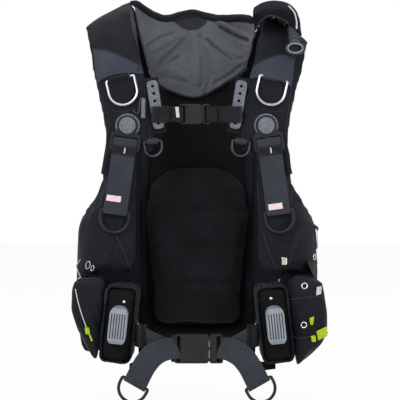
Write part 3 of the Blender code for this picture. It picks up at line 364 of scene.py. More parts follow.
# Glass-filled nylon in mid grey, speckled by its fibres
FILLED = MouldedFinish("glass_filled_nylon_grey", "60636c", 0.5, speck="8a8d96", speck_share=0.5,
                       grain_mm=1.6,
                       relief=0.35)
# Soft thermoplastic rubber of the grips, cool pale grey
GRIP = MouldedFinish("thermoplastic_rubber_grey", "8e949d", 0.46, speck="7a7f87", speck_share=0.2,
                     grain_mm=1.2)
# Painted shade in the bottoms and walls of the grip's grooves: the grip's rubber, darker
PAINTED_GROOVE_SHADE = MouldedFinish("thermoplastic_rubber_painted_shade", "454a52", 0.6, grain_mm=1.2)
# ABS with a polished mould, glossy black
GLOSS = MouldedFinish("abs_black_polished", "0e0e10", 0.16, grain_mm=1.4, relief=0.05, gleam=0.5)
# Silicone and EPDM rubber, black, slightly bloomed
RUBBER = MouldedFinish("epdm_rubber_moulded", "1d1e20", 0.5, speck="2e2f32", grain_mm=1.1, relief=0.4)
# High-density polyethylene plate, moulded black
PLATE = MouldedFinish("polyethylene_plate_moulded", "1a1b1d", 0.45, speck="2c2d30", grain_mm=1.5, relief=0.5)
# Silicone of the mouthpiece, dark grey and slightly dusty
SILICONE = MouldedFinish("silicone_rubber_moulded", "3b3e45", 0.5, speck="55585f", grain_mm=1.1, relief=0.3)
# Stainless steel 316, drawn wire, electropolished
STEEL = MetalFinish("stainless_steel_polished", "aeafb2", 0.22)
# The same steel blackened, as on the small chest rings
DARK_STEEL = MetalFinish("stainless_steel_blackened", "3f4043", 0.34)
# Nickel plated brass of eyelets and snaps
NICKEL = MetalFinish("nickel_plated_brass", "c9c6bd", 0.24)


def box_map(mesh: bpy.types.Mesh) -> None:
    """Lays a cloth map in millimetres on a mesh, each face along its nearest main plane.

    Args:
        mesh: mesh that gets the map.
    """
    layer = mesh.uv_layers.get(UV_NAME) or mesh.uv_layers.new(name=UV_NAME)
    for face in mesh.polygons:
        size = [abs(n) for n in face.normal]
        a, b = ((1, 2), (0, 2), (0, 1))[size.index(max(size))]
        for loop in face.loop_indices:
            spot = mesh.vertices[mesh.loops[loop].vertex_index].co
            layer.data[loop].uv = (spot[a] * 1000, spot[b] * 1000)


def finish_piece(name: str, bm: bmesh.types.BMesh, finish: Finish, mapped: bool = False) -> bpy.types.Object:
    """Turns a bmesh to a finished, smooth shaded piece at the origin.

    Args:
        name: name of the piece.
        bm: its geometry, freed here.
        finish: its surface.
        mapped: whether the geometry already carries the cloth map.
    Returns:
        The new object.
    """
    mesh = bpy.data.meshes.new(name)
    bm.normal_update()
    bm.to_mesh(mesh)
    bm.free()
    for face in mesh.polygons:
        face.use_smooth = True
    mesh.materials.append(finish.material())
    if not mapped:
        box_map(mesh)
    made = bpy.data.objects.new(name, mesh)
    bpy.context.scene.collection.objects.link(made)
    return made


def node_copy(node: str) -> bmesh.types.BMesh:
    """A merged copy of a CAD node's loose triangles."""
    bm = bmesh.new()
    bm.from_mesh(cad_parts[node].data)
    bmesh.ops.remove_doubles(bm, verts=bm.verts, dist=2e-6)
    return bm


def baked(obj: bpy.types.Object) -> bpy.types.Mesh:
    """The mesh of an object with its modifiers applied."""
    bpy.context.view_layer.update()
    graph = bpy.context.evaluated_depsgraph_get()
    return bpy.data.meshes.new_from_object(obj.evaluated_get(graph))


def swap_mesh(obj: bpy.types.Object, mesh: bpy.types.Mesh) -> None:
    """Gives an object a new mesh and drops its modifiers."""
    obj.modifiers.clear()
    old = obj.data
    obj.data = mesh
    bpy.data.meshes.remove(old)


def subdivide(obj: bpy.types.Object, levels: int = 1) -> None:
    """Adds a live subdivision surface with equal view and render levels."""
    mod = obj.modifiers.new("rounding", "SUBSURF")
    mod.levels = levels
    mod.render_levels = levels


def spline(points: Sequence[Vector], count: int, closed: bool = False) -> list[Vector]:
    """Even points along a smooth curve through given points.

    Args:
        points: points that the curve passes through.
        count: how many points come back.
        closed: whether the curve returns to its start.
    Returns:
        The even points.
    """
    spots = [Vector(p) for p in points]
    if closed:
        spots = [spots[-1]] + spots + spots[:2]
    else:
        spots = [2 * spots[0] - spots[1]] + spots + [2 * spots[-1] - spots[-2]]
    fine = []
    for p0, p1, p2, p3 in zip(spots, spots[1:], spots[2:], spots[3:]):
        for k in range(16):
            t = k / 16
            fine.append(0.5 * (2 * p1 + (p2 - p0) * t + (2 * p0 - 5 * p1 + 4 * p2 - p3) * t * t
                               + (3 * p1 - p0 - 3 * p2 + p3) * t ** 3))
    fine.append(spots[-2].copy())
    reach = [0.0]
    for a, b in zip(fine, fine[1:]):
        reach.append(reach[-1] + (b - a).length)
    even = []
    step = 0
    for k in range(count):
        goal = reach[-1] * k / (count if closed else count - 1)
        while step < len(reach) - 2 and reach[step + 1] < goal:
            step += 1
        share = (goal - reach[step]) / max(reach[step + 1] - reach[step], 1e-9)
        even.append(fine[step].lerp(fine[step + 1], min(max(share, 0.0), 1.0)))
    return even


def tube(name: str, points: Sequence[Vector], radius: float | Sequence[float], finish: Finish,
         sides: int = 10, closed: bool = False) -> bpy.types.Object:
    """A round rod, cord or piping swept along points.

    Args:
        name: name of the piece.
        points: centre line in metres.
        radius: one radius, or one for each point.
        finish: surface.
        sides: corners of the section.
        closed: whether the line is a ring.
    Returns:
        The piece.
    """
    bm = bmesh.new()
    layer = bm.loops.layers.uv.new(UV_NAME)
    count = len(points)
    loops = []
    turn = None
    for i, spot in enumerate(points):
        ahead = points[(i + 1) % count] if closed else points[min(i + 1, count - 1)]
        behind = points[i - 1] if closed or i else points[0]
        along = (ahead - behind).normalized()
        if turn is None:
            turn = along.to_track_quat("Z", "Y")
        else:
            turn = (turn @ Vector((0, 0, 1))).rotation_difference(along) @ turn
        place = Matrix.Translation(spot) @ turn.to_matrix().to_4x4()
        size = radius if isinstance(radius, (int, float)) else radius[i]
        made = bmesh.ops.create_circle(bm, segments=sides, radius=size, matrix=place)["verts"]
        loops.append(made)
    reach = 0.0
    pairs = list(zip(loops, loops[1:])) + ([(loops[-1], loops[0])] if closed else [])
    for low, high in pairs:
        step = (high[0].co - low[0].co).length * 1000
        shift = 0
        if closed and high is loops[0]:
            shift = min(range(sides), key=lambda s: (loops[0][s].co - low[0].co).length)
        for k in range(sides):
            j = (k + 1) % sides
            face = bm.faces.new((low[k], low[j], high[(j + shift) % sides], high[(k + shift) % sides]))
            for loop, uv in zip(face.loops, ((k, 0), (k + 1, 0), (k + 1, 1), (k, 1))):
                loop[layer].uv = (uv[0] * 1.1, reach + uv[1] * step)
        reach += step
    if not closed:
        bmesh.ops.holes_fill(bm, edges=[e for e in bm.edges if e.is_boundary], sides=0)
    bmesh.ops.recalc_face_normals(bm, faces=bm.faces[:])
    return finish_piece(name, bm, finish, mapped=True)


HEM_ANGLE = 50.0           # edges of a sheet sharper than this are rounded, degrees


def thicken(made: bpy.types.Object, thick: float, hem: float = 0.0, segments: int = 2) -> None:
    """Gives a sheet its thickness and softly rounded edges.

    Args:
        made: the sheet.
        thick: thickness in metres.
        hem: width of the rounded edge, 0 for none.
        segments: facets round the edge.
    """
    wall = made.modifiers.new("thickness", "SOLIDIFY")
    wall.thickness = thick
    wall.offset = 0.0
    if hem:
        edge = made.modifiers.new("hem", "BEVEL")
        edge.width = hem
        edge.segments = segments
        edge.limit_method = "ANGLE"
        edge.angle_limit = math.radians(HEM_ANGLE)
    swap_mesh(made, baked(made))


def keep(piece: bpy.types.Object, body: str = "jacket") -> None:
    """Lets a piece ride on a body and logs it."""
    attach(piece, body)
    LOG.info("%s", piece.name)


def strip(name: str, path: Sequence[Vector], across: Sequence[Vector], width: float, thick: float,
          finish: Finish, stations: int = 60, lanes: int = 6) -> bpy.types.Object:
    """Webbing or tape along a path, with its own map: u across and v along, in millimetres.

    Args:
        name: name of the piece.
        path: centre line in metres.
        across: direction of the width at each point of the path.
        width: width in metres.
        thick: thickness in metres.
        finish: surface.
        stations: rows along the path.
        lanes: columns across it.
    Returns:
        The piece.
    """
    line = spline(path, stations)
    sides = spline([Vector(a).normalized() for a in across], stations)
    bm = bmesh.new()
    bmesh.ops.create_grid(bm, x_segments=lanes, y_segments=stations - 1, size=0.5)
    layer = bm.loops.layers.uv.new(UV_NAME)
    reach = [0.0]
    for a, b in zip(line, line[1:]):
        reach.append(reach[-1] + (b - a).length * 1000)
    spots = {}
    for vert in bm.verts:
        row = min(stations - 1, round((vert.co.y + 0.5) * (stations - 1)))
        share = vert.co.x
        spots[vert.index] = (share * width * 1000, reach[row])
        vert.co = line[row] + sides[row].normalized() * share * width
    for face in bm.faces:
        for loop in face.loops:
            loop[layer].uv = spots[loop.vert.index]
    made = finish_piece(name, bm, finish, mapped=True)
    thicken(made, thick, min(thick * 0.32, 0.0006))
    return made


SMALL_GROUP = 0.1      # share of a line or panel below which its points are strays
LOOSE_SPAN = 0.008     # metres of a sewn line that leave the cloth, so no stitch is set there


class Surface:
    """The outside of a finished piece, for laying seams, patches and trims on it."""

    def __init__(self, *pieces: bpy.types.Object, step: float = math.inf) -> None:
        """Reads the pieces as they render.

        Args:
            pieces: what the surface is made of.
            step: largest distance between neighbouring points laid on it, in metres.
        """
        self.step = step
        verts: list[Vector] = []
        faces: list[tuple[int, ...]] = []
        for piece in pieces:
            mesh = baked(piece)
            start = len(verts)
            verts += [v.co.copy() for v in mesh.vertices]
            faces += [tuple(start + i for i in f.vertices) for f in mesh.polygons]
            bpy.data.meshes.remove(mesh)
        self.tree = BVHTree.FromPolygons(verts, faces)

    def toward(self, start: Vector, way: Vector) -> tuple[Vector, Vector]:
        """First point and outward normal along a ray, or the nearest point where the ray misses.

        Args:
            start: start of the ray.
            way: its direction.
        Returns:
            The point and the normal that faces the ray.
        """
        spot, normal, _, _ = self.tree.ray_cast(start, way)
        if spot is None:
            far = start + way.normalized() * ((EYE - Vector((0, -0.18, 0))).length if start == EYE else 0.1)
            spot, normal, _, _ = self.tree.find_nearest(far)
        if normal.dot(way) > 0:
            normal = -normal
        return spot, normal

    def pixel(self, x: float, y: float) -> tuple[Vector, Vector]:
        """Point and normal seen at a pixel of the 400 by 400 photograph."""
        way = Vector(((x - MIDDLE) * PIXEL, 1.0, (MIDDLE - y) * PIXEL))
        return self.toward(EYE, way)

    def near(self, point: Vector) -> tuple[Vector, Vector]:
        """Nearest point of the surface and its normal."""
        spot, normal, _, _ = self.tree.find_nearest(point)
        if (point - spot).dot(normal) < 0:
            normal = -normal
        return spot, normal

    def line(self, pixels: Sequence[Pixel], count: int, lift: float = 0.0) -> tuple[list[Vector],
                                                                                    list[Vector]]:
        """A smooth line through pixels, laid on the surface.

        Args:
            pixels: places in the photograph.
            count: points that come back.
            lift: height above the surface in metres.
        Returns:
            The points and their normals.
        """
        flat = spline([Vector((x, y, 0.0)) for x, y in pixels], count)
        beside = [[i for i in (at - 1, at + 1) if 0 <= i < len(flat)] for at in range(len(flat))]
        found = self.spread(flat, beside)
        return [s + n * lift for s, n in found], [n for _, n in found]

    def spread(self, flat: Sequence[Vector], beside: Sequence[Sequence[int]]) -> list[tuple[Vector, Vector]]:
        """Lays places of the photograph on the front of the surface, without falling through to its rear.

        Args:
            flat: places in pixels.
            beside: for each place, the numbers of the places next to it.
        Returns:
            Points and normals, with no step longer than the surface allows where a ray passes its edge.
        """
        found = [self.pixel(p.x, p.y) for p in flat]
        groups: list[list[int]] = []
        left = set(range(len(flat)))
        while left:
            group = [left.pop()]
            for at in group:
                close = [i for i in beside[at] if i in left and (found[i][0]
                                                                 - found[at][0]).length < self.step]
                left.difference_update(close)
                group += close
            groups.append(group)
        large = [g for g in groups if len(g) > SMALL_GROUP * len(flat)]
        front = min(large, key=lambda g: sum(found[i][0].y for i in g) / len(g))
        kept = set(front)
        for at in front:
            for i in beside[at]:
                if i not in kept:
                    found[i] = self.near(seen(flat[i].x, flat[i].y, found[at][0].y))
                    kept.add(i)
                    front.append(i)
        return found


def even_out(points: list[Vector], passes: int = 2) -> list[Vector]:
    """Takes small steps out of a line laid on a rough surface, ends kept."""
    for _ in range(passes):
        inner = [(a + 2 * b + c) / 4 for a, b, c in zip(points, points[1:], points[2:])]
        points = [points[0]] + inner + [points[-1]]
    return points


def piping(name: str, surface: Surface, pixels: Sequence[Pixel], radius: float, finish: Finish,
           count: int = 40, sink: float = 0.3) -> bpy.types.Object:
    """Round piping or a rolled seam laid on a surface along pixels.

    Args:
        name: name of the piece.
        surface: what carries it.
        pixels: places in the photograph.
        radius: radius in metres.
        finish: surface finish.
        count: points along it.
        sink: share of the radius let into the cloth.
    Returns:
        The piece.
    """
    points, _ = surface.line(pixels, count, radius * (1 - sink))
    return tube(name, even_out(points), radius, finish, 8)


def stitches(name: str, runs: Sequence[tuple[list[Vector], list[Vector]]], finish: Finish,
             length: float = 0.0032, pitch: float = 0.0046, radius: float = 0.00045,
             crosswise: bool = False) -> bpy.types.Object:
    """Sewn stitches as small beads of thread along lines on cloth.

    Args:
        name: name of the piece.
        runs: lines of points with their normals.
        finish: thread.
        length: length of one stitch in metres.
        pitch: distance from stitch to stitch.
        radius: half thickness of the thread.
        crosswise: whether each bead lies across its line, as a zip's teeth do.
    Returns:
        One piece with all the stitches.
    """
    bm = bmesh.new()
    for points, normals in runs:
        reach = 0.0
        goal = pitch / 2
        for a, b, n in zip(points, points[1:], normals):
            span = (b - a).length
            if span > LOOSE_SPAN:
                continue
            while span > 1e-7 and reach + span >= goal:
                spot = a.lerp(b, (goal - reach) / span)
                along = (b - a).normalized()
                if crosswise:
                    along = n.cross(along).normalized()
                side = n.cross(along).normalized()
                turn = Matrix((side, along, side.cross(along))).transposed().to_4x4()
                place = Matrix.Translation(spot + n * radius * 0.3) @ turn
                place = place @ Matrix.Diagonal((radius, length / 2, radius, 1.0))
                bmesh.ops.create_uvsphere(bm, u_segments=6, v_segments=4, radius=1.0,
                                          matrix=place @ SPHERE_ALONG)
                goal += pitch
            reach += span
    return finish_piece(name, bm, finish)


SPHERE_ALONG = Matrix.Rotation(math.radians(90), 4, "X")


def patch(name: str, surface: Surface, left: Sequence[Pixel], right: Sequence[Pixel], finish: Finish,
          thick: float = 0.0012, columns: int = 24, rows: int = 24, lift: float = 0.0004,
          crown: float = 0.0, ease: int = 2) -> bpy.types.Object:
    """A sewn-on panel between two lines of pixels, laid on a surface.

    Args:
        name: name of the piece.
        surface: what carries it.
        left: line of pixels along one edge.
        right: line along the other edge, in the same direction.
        finish: cloth.
        thick: thickness in metres.
        columns: cells from edge to edge.
        rows: cells along the edges.
        lift: height of its lower face above the surface.
        crown: extra height in the middle.
        ease: smoothing passes, more where the panel bridges a step.
    Returns:
        The piece.
    """
    near = spline([Vector((x, y, 0)) for x, y in left], rows + 1)
    far = spline([Vector((x, y, 0)) for x, y in right], rows + 1)
    bm = bmesh.new()
    bmesh.ops.create_grid(bm, x_segments=columns, y_segments=rows, size=0.5)
    bm.verts.index_update()
    flat = []
    for vert in bm.verts:
        row = min(rows, round((vert.co.y + 0.5) * rows))
        flat.append(near[row].lerp(far[row], vert.co.x + 0.5))
    beside = [[edge.other_vert(v).index for edge in v.link_edges] for v in bm.verts]
    for vert, (spot, normal) in zip(bm.verts, surface.spread(flat, beside)):
        rise = crown * math.sin(math.pi * (vert.co.x + 0.5)) * math.sin(math.pi * (vert.co.y + 0.5))
        vert.co = spot + normal * (lift + thick / 2 + rise)
    inner = [v for v in bm.verts if not v.is_boundary]
    for _ in range(ease):
        bmesh.ops.smooth_vert(bm, verts=inner, factor=0.5, use_axis_x=True, use_axis_y=True, use_axis_z=True)
    bmesh.ops.recalc_face_normals(bm, faces=bm.faces[:])
    made = finish_piece(name, bm, finish)
    thicken(made, thick, thick * 0.45)
    box_map(made.data)
    return made


def eyelet(name: str, surface: Surface, spot: Pixel, reach: float, wire: float,
           finish: Finish) -> bpy.types.Object:
    """A rolled metal ring pressed into cloth.

    Args:
        name: name of the piece.
        surface: the cloth.
        spot: its pixel.
        reach: radius of the ring in metres.
        wire: radius of the rolled edge.
        finish: metal.
    Returns:
        The ring.
    """
    middle, normal = surface.pixel(*spot)
    first = normal.orthogonal().normalized()
    second = normal.cross(first)
    points = []
    for i in range(20):
        angle = math.tau * i / 20
        points.append(middle + normal * wire * 0.6 + (first * math.cos(angle)
                                                      + second * math.sin(angle)) * reach)
    return tube(name, points, wire, finish, 8, True)


def rivet(name: str, surface: Surface, spot: Pixel, reach: float, finish: Finish) -> bpy.types.Object:
    """A domed press stud on cloth.

    Args:
        name: name of the piece.
        surface: the cloth.
        spot: its pixel.
        reach: radius in metres.
        finish: metal or plastic.
    Returns:
        The stud.
    """
    middle, normal = surface.pixel(*spot)
    place = Matrix.Translation(middle) @ normal.to_track_quat("Z", "Y").to_matrix().to_4x4()
    bm = bmesh.new()
    bmesh.ops.create_uvsphere(bm, u_segments=20, v_segments=10, radius=reach,
                              matrix=place @ Matrix.Diagonal((1.0, 1.0, 0.5, 1.0)))
    return finish_piece(name, bm, finish)


@dataclass(frozen=True)
class Crease:
    """A fold, sewn line or ridge of cloth, drawn through pixels of the photograph."""

    pixels: tuple[Pixel, ...]
    width: float = 2.5         # half width in pixels
    depth: float = 1.5         # millimetres into the cloth; below 0 it is a ridge

    def reach(self) -> tuple[list[Vector], tuple[float, float, float, float]]:
        """Fine points of the line, and its box with a margin."""
        fine = spline([Vector((x, y, 0.0)) for x, y in self.pixels], max(8, 5 * len(self.pixels)))
        edge = 3 * self.width
        return fine, (min(p.x for p in fine) - edge, max(p.x for p in fine) + edge,
                      min(p.y for p in fine) - edge, max(p.y for p in fine) + edge)


def crease(piece: bpy.types.Object, lines: Iterable[Crease], front_only: float = 0.25) -> None:
    """Presses creases into the front of a piece.

    Args:
        piece: a mesh piece.
        lines: the creases.
        front_only: points whose normal has a larger y than this stay.
    """
    ready = [(line, *line.reach()) for line in lines]
    moves = []
    for vert in piece.data.vertices:
        if vert.normal.y > front_only:
            continue
        off = vert.co - EYE
        x = MIDDLE + off.x / off.y / PIXEL
        y = MIDDLE - off.z / off.y / PIXEL
        push = 0.0
        for line, fine, (x0, x1, y0, y1) in ready:
            if not (x0 < x < x1 and y0 < y < y1):
                continue
            near = 1e9
            for a, b in zip(fine, fine[1:]):
                dx, dy = b.x - a.x, b.y - a.y
                t = ((x - a.x) * dx + (y - a.y) * dy) / (dx * dx + dy * dy + 1e-9)
                t = min(max(t, 0.0), 1.0)
                near = min(near, (x - a.x - t * dx) ** 2 + (y - a.y - t * dy) ** 2)
            share = near / (line.width * line.width)
            push -= line.depth * 0.001 * (math.exp(-share)
                                          - 0.35 * math.exp(-(math.sqrt(share) - 1.7) ** 2 * 2))
        if push:
            moves.append((vert, vert.normal * push))
    for vert, move in moves:
        vert.co += move


def rumple(piece: bpy.types.Object, depth: float, size: float, stretch: Point = (1.0, 1.0, 1.0),
           seed: float = 0.0) -> None:
    """Gives cloth the soft uneven folds of a thing that has been worn.

    Args:
        piece: a mesh piece.
        depth: height of the folds in metres.
        size: distance from fold to fold in metres.
        stretch: how much longer the folds are along x, y and z.
        seed: where in the noise this piece lies.
    """
    moves = []
    for vert in piece.data.vertices:
        spot = Vector([c / size / s + seed for c, s in zip(vert.co, stretch)])
        ridge = 1.0 - abs(noise.noise(spot)) * 2.2
        small = noise.noise(spot * 2.7)
        moves.append(vert.co + vert.normal * depth * (0.75 * ridge + 0.35 * small - 0.5))
    for vert, spot in zip(piece.data.vertices, moves):
        vert.co = spot


@dataclass
class SoftForm:
    """Padded cloth grown from a solid of the frame."""

    node: str
    finish: Finish
    name: str = ""
    voxel: float = 0.0045
    inset: float = 0.0016
    pressure: float = 4.0
    slack: float = 0.02
    cap: float = 0.006
    settle: int = 5
    fill: float = 0.6
    padded: bool = True
    body: str = "jacket"
    rumples: tuple[float, float] = (0.0011, 0.03)
    stretch: Point = (1.0, 1.0, 1.0)
    creases: tuple[Crease, ...] = ()

    def make(self) -> bpy.types.Object:
        """Returns:
            The padded piece, before its last subdivision.
        """
        bm = node_copy(self.node)
        piece = finish_piece(self.name or self.node + "_cloth", bm, self.finish, mapped=True)
        grid = piece.modifiers.new("grid", "REMESH")
        grid.mode = "VOXEL"
        grid.voxel_size = self.voxel
        swap_mesh(piece, baked(piece))
        self.relax(piece)
        if self.pressure:
            self.inflate(piece)
        rumple(piece, *self.rumples, self.stretch, seed=len(self.node) * 3.7)
        if self.creases:
            crease(piece, self.creases)
        for face in piece.data.polygons:
            face.use_smooth = True
        if not piece.data.materials:
            piece.data.materials.append(self.finish.material())
        box_map(piece.data)
        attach(piece, self.body)
        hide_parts(self.node)
        LOG.info("%s: %d faces", piece.name, len(piece.data.polygons))
        return piece

    def relax(self, piece: bpy.types.Object) -> None:
        """Takes the voxel steps out of a remeshed piece; each second pass gives the size back."""
        bm = bmesh.new()
        bm.from_mesh(piece.data)
        for factor in (0.5, -0.52) * self.settle:
            bmesh.ops.smooth_vert(bm, verts=bm.verts[:], factor=factor, use_axis_x=True, use_axis_y=True,
                                  use_axis_z=True)
        bm.to_mesh(piece.data)
        bm.free()

    def inflate(self, piece: bpy.types.Object) -> None:
        """Runs the cloth under pressure and keeps the result in the mesh.

        Args:
            piece: the relaxed piece.
        """
        piece.data.update()
        rest = [v.co.copy() for v in piece.data.vertices]
        inner = [v.co - v.normal * self.inset for v in piece.data.vertices]
        for vert, spot in zip(piece.data.vertices, inner):
            vert.co = spot
        cloth = piece.modifiers.new("cloth", "CLOTH")
        cloth.settings.quality = 3
        cloth.settings.mass = 0.25
        cloth.settings.tension_stiffness = 12
        cloth.settings.compression_stiffness = 12
        cloth.settings.bending_stiffness = 0.4
        cloth.settings.use_pressure = True
        cloth.settings.uniform_pressure_force = self.pressure
        cloth.settings.shrink_min = -self.slack
        cloth.settings.effector_weights.gravity = 0.0
        cloth.collision_settings.use_collision = False
        cloth.point_cache.frame_start = 1
        cloth.point_cache.frame_end = 20
        scene = bpy.context.scene
        for step in range(1, 21):
            scene.frame_set(step)
        mesh = baked(piece)
        for vert, home in zip(mesh.vertices, rest):
            move = vert.co - home
            if move.length > self.cap:
                vert.co = home + move.normalized() * self.cap
        swap_mesh(piece, mesh)
        scene.frame_set(1)


@dataclass
class Studio:
    """Camera, soft lamps, pale floor and white surroundings."""

    floor_z: float = CAD_BOX[0][2] - 0.002
    key_power: float = 56.0
    fill_power: float = 24.0
    top_power: float = 26.0
    ambient: float = 0.34

    def build(self) -> None:
        """Makes the camera, the world, the lamps and the floor."""
        scene = bpy.context.scene
        scene.view_settings.view_transform = "Standard"
        camera = bpy.data.objects.new("camera", bpy.data.cameras.new("camera"))
        camera.data.lens = LENS
        camera.data.sensor_width = SENSOR
        camera.location = EYE
        camera.rotation_euler = (math.radians(90), 0, 0)
        scene.collection.objects.link(camera)
        scene.camera = camera
        self.world()
        self.lamp("key", (-1.5, -2.3, 1.9), 1.9, self.key_power)
        self.lamp("fill", (1.9, -2.1, 0.7), 1.7, self.fill_power)
        self.lamp("top", (0.2, 0.5, 2.3), 1.6, self.top_power)
        self.floor()

    def world(self) -> None:
        """White for the camera and mirrors, soft grey light for everything else."""
        world = bpy.data.worlds.new("studio")
        bpy.context.scene.world = world
        world.use_nodes = True
        tree = world.node_tree
        back = tree.nodes["Background"]
        back.inputs["Color"].default_value = (1.0, 1.0, 1.0, 1.0)
        seen = self.seen(tree)
        level = add_node(tree, "MapRange", {"Value": seen, "To Min": self.ambient, "To Max": 1.0})
        tree.links.new(level.outputs["Result"], back.inputs["Strength"])

    @staticmethod
    def seen(tree: bpy.types.NodeTree) -> bpy.types.NodeSocket:
        """1 for rays that show the surroundings themselves, 0 for rays that light the object."""
        path = add_node(tree, "LightPath")
        first = add_node(tree, "Math", {0: path.outputs["Is Camera Ray"], 1: path.outputs["Is Glossy Ray"]},
                         operation="MAXIMUM")
        both = add_node(tree, "Math", {0: first.outputs["Value"], 1: path.outputs["Is Transmission Ray"]},
                        operation="MAXIMUM")
        return both.outputs["Value"]

    @staticmethod
    def lamp(name: str, place: Point, size: float, power: float) -> None:
        """One soft square lamp aimed at the object."""
        data = bpy.data.lights.new(name, "AREA")
        data.size = size
        data.energy = power
        lamp = bpy.data.objects.new(name, data)
        lamp.location = place
        lamp.rotation_euler = (Vector((0, -0.1, 0.05)) - Vector(place)).to_track_quat("-Z", "Y").to_euler()
        bpy.context.scene.collection.objects.link(lamp)

    def floor(self) -> None:
        """Pale floor; it glows for the camera so that it meets the white, and keeps a faint shadow."""
        bm = bmesh.new()
        bmesh.ops.create_grid(bm, x_segments=4, y_segments=4, size=6.0)
        bmesh.ops.translate(bm, vec=(0, 2.0, self.floor_z), verts=bm.verts[:])
        mesh = bpy.data.meshes.new("floor")
        bm.to_mesh(mesh)
        bm.free()
        floor = bpy.data.objects.new("floor", mesh)
        bpy.context.scene.collection.objects.link(floor)
        paint = bpy.data.materials.new("matt_floor_paint")
        paint.use_nodes = True
        tree = paint.node_tree
        shader = tree.nodes["Principled BSDF"]
        shader.inputs["Base Color"].default_value = linear("f2f2f2")
        shader.inputs["Roughness"].default_value = 0.9
        glow = add_node(tree, "Emission", {"Color": (1.0, 1.0, 1.0, 1.0), "Strength": 1.0})
        share = add_node(tree, "Math", {0: self.seen(tree), 1: 0.95}, operation="MULTIPLY")
        mix = add_node(tree, "MixShader", {0: share.outputs["Value"], 1: shader.outputs["BSDF"],
                                           2: glow.outputs["Emission"]})
        tree.links.new(mix.outputs["Shader"], tree.nodes["Material Output"].inputs["Surface"])
        mesh.materials.append(paint)


FRONT_STEP = 0.02      # metres from point to point of a trim, before it counts as fallen through


@dataclass
class ShoulderAssembly:
    """One padded shoulder with its laminated panel, binding, ring sleeves and sewing."""

    side: int
    tag: str
    seam: tuple[Pixel, ...] = ()
    hem: tuple[Pixel, ...] = ()
    tape: tuple[tuple[Pixel, ...], tuple[Pixel, ...]] = ((), ())
    sewn: tuple[tuple[Pixel, ...], ...] = ()

    def build(self) -> None:
        """Makes the padded shoulder and dresses its front."""
        pad = SoftForm(f"shoulder_{self.tag}", SHELL, voxel=0.004, cap=0.004, slack=0.012,
                       rumples=(0.0008, 0.04), stretch=(1.0, 1.0, 1.6)).make()
        skin = Surface(pad, step=FRONT_STEP)
        self.panel(skin)
        self.binding(skin)
        self.sleeves()
        runs = [skin.line(line, 90, 0.0002) for line in self.sewn]
        keep(stitches(f"shoulder_stitches_{self.tag}", runs, THREAD))
        subdivide(pad)

    def panel(self, skin: Surface) -> None:
        """The smooth laminated panel with its seam above and its rolled hem below.

        Args:
            skin: the padded shoulder.
        """
        made = patch(f"shoulder_panel_{self.tag}", skin, self.seam, self.hem, PANEL, 0.0011, 16, 40, 0.0002,
                     0.0008)
        keep(made)
        front = Surface(made)
        roll = [(x, y - 0.5) for x, y in self.hem]
        keep(piping(f"shoulder_hem_{self.tag}", front, roll, 0.0008, PANEL, 50, 1.0))
        cord = [(x, y + 0.3) for x, y in self.seam]
        keep(piping(f"shoulder_seam_{self.tag}", front, cord, 0.0009, BINDING, 50, 0.4))
        run = front.line([(x, y + 2.2) for x, y in self.seam], 80, 0.0002)
        low = front.line([(x, y - 3.0) for x, y in self.hem], 80, 0.0002)
        keep(stitches(f"panel_stitches_{self.tag}", [run, low], THREAD, 0.0026, 0.004, 0.0003))

    def binding(self, skin: Surface) -> None:
        """Satin tape folded over the inner edge of the shoulder."""
        left, right = self.tape
        keep(patch(f"shoulder_binding_{self.tag}", skin, left, right, BINDING, 0.0014, 8, 50, 0.0002))

    def sleeves(self) -> None:
        """Webbing sleeves sewn round the bars of the big and the small ring."""
        for name, spot, bar, half, radius in (
                ("ring", (123.5, -182.7, 244.0), (1, 0, -0.24), 17.0, 0.005),
                ("small_ring", (71.0, -188.0, 143.0), (1, 0, -0.1), 9.0, 0.0047)):
            along = Vector((self.side * bar[0], bar[1], bar[2])).normalized()
            middle = mm(self.side * spot[0], spot[1], spot[2])
            points = [middle + along * half * 0.001 * t / 8 for t in range(-8, 9)]
            keep(tube(f"{name}_sleeve_{self.tag}", points, radius, WEBBING, 20))


LEFT_SHOULDER = ShoulderAssembly(
    1, "l", ((250, 70), (257.5, 63), (269.6, 57.2), (282, 54), (295.5, 56)),
    ((250.5, 78.8), (258, 77.6), (268, 78), (282, 81.3), (291.5, 87)),
    (((249.5, 36), (246.5, 60), (242.5, 80), (239, 104)), ((255, 36), (252.5, 58), (249.5, 72), (245, 104))),
    (((244, 104), (243, 125), (243, 146)), ((293, 62), (291, 90), (288, 112), (285, 138)),
     ((262, 108), (272, 112), (284, 110))))
RIGHT_SHOULDER = ShoulderAssembly(
    -1, "r", ((93, 48.5), (102, 49), (111.8, 51.4), (130, 59.7), (142, 66)),
    ((97.5, 83), (104, 78.6), (111.8, 75.5), (126, 73.2), (143, 74)),
    (((129.5, 9), (131.5, 26), (137.5, 50), (145, 72), (150, 94)),
     ((135.5, 11), (138, 27), (143.5, 50), (150, 70),
                                                                  (155, 94))),
    (((149, 98), (150, 118), (150, 142)), ((95, 60), (99, 88), (108, 114), (109, 134)),
     ((112, 110), (122, 112), (134, 108))))


def seen(x: float, y: float, depth: float) -> Vector:
    """The point at a given depth that shows at a pixel of the photograph."""
    way = Vector(((x - MIDDLE) * PIXEL, 1.0, (MIDDLE - y) * PIXEL))
    return EYE + way * (depth - EYE.y)


GUSSET_X, GUSSET_Y = 90.0, -46.0            # seam between wing and back panel, millimetres
GUSSET_LOW, GUSSET_TOP = -158.0, 146.0
GUSSET_POINTS = 17
# First point of a gusset, and how far each next point lies outwards and upwards, millimetres
NECK_GUSSET = (66.0, GUSSET_Y, 222.0, 0.4, 4.0)
ARM_GUSSET = (138.5, -172.0, 138.0, 0.5, -3.0)
PANEL_HEM = ((-92, -126), (-90, -146), (-82, -162), (-66, -172), (-40, -176), (0, -177))
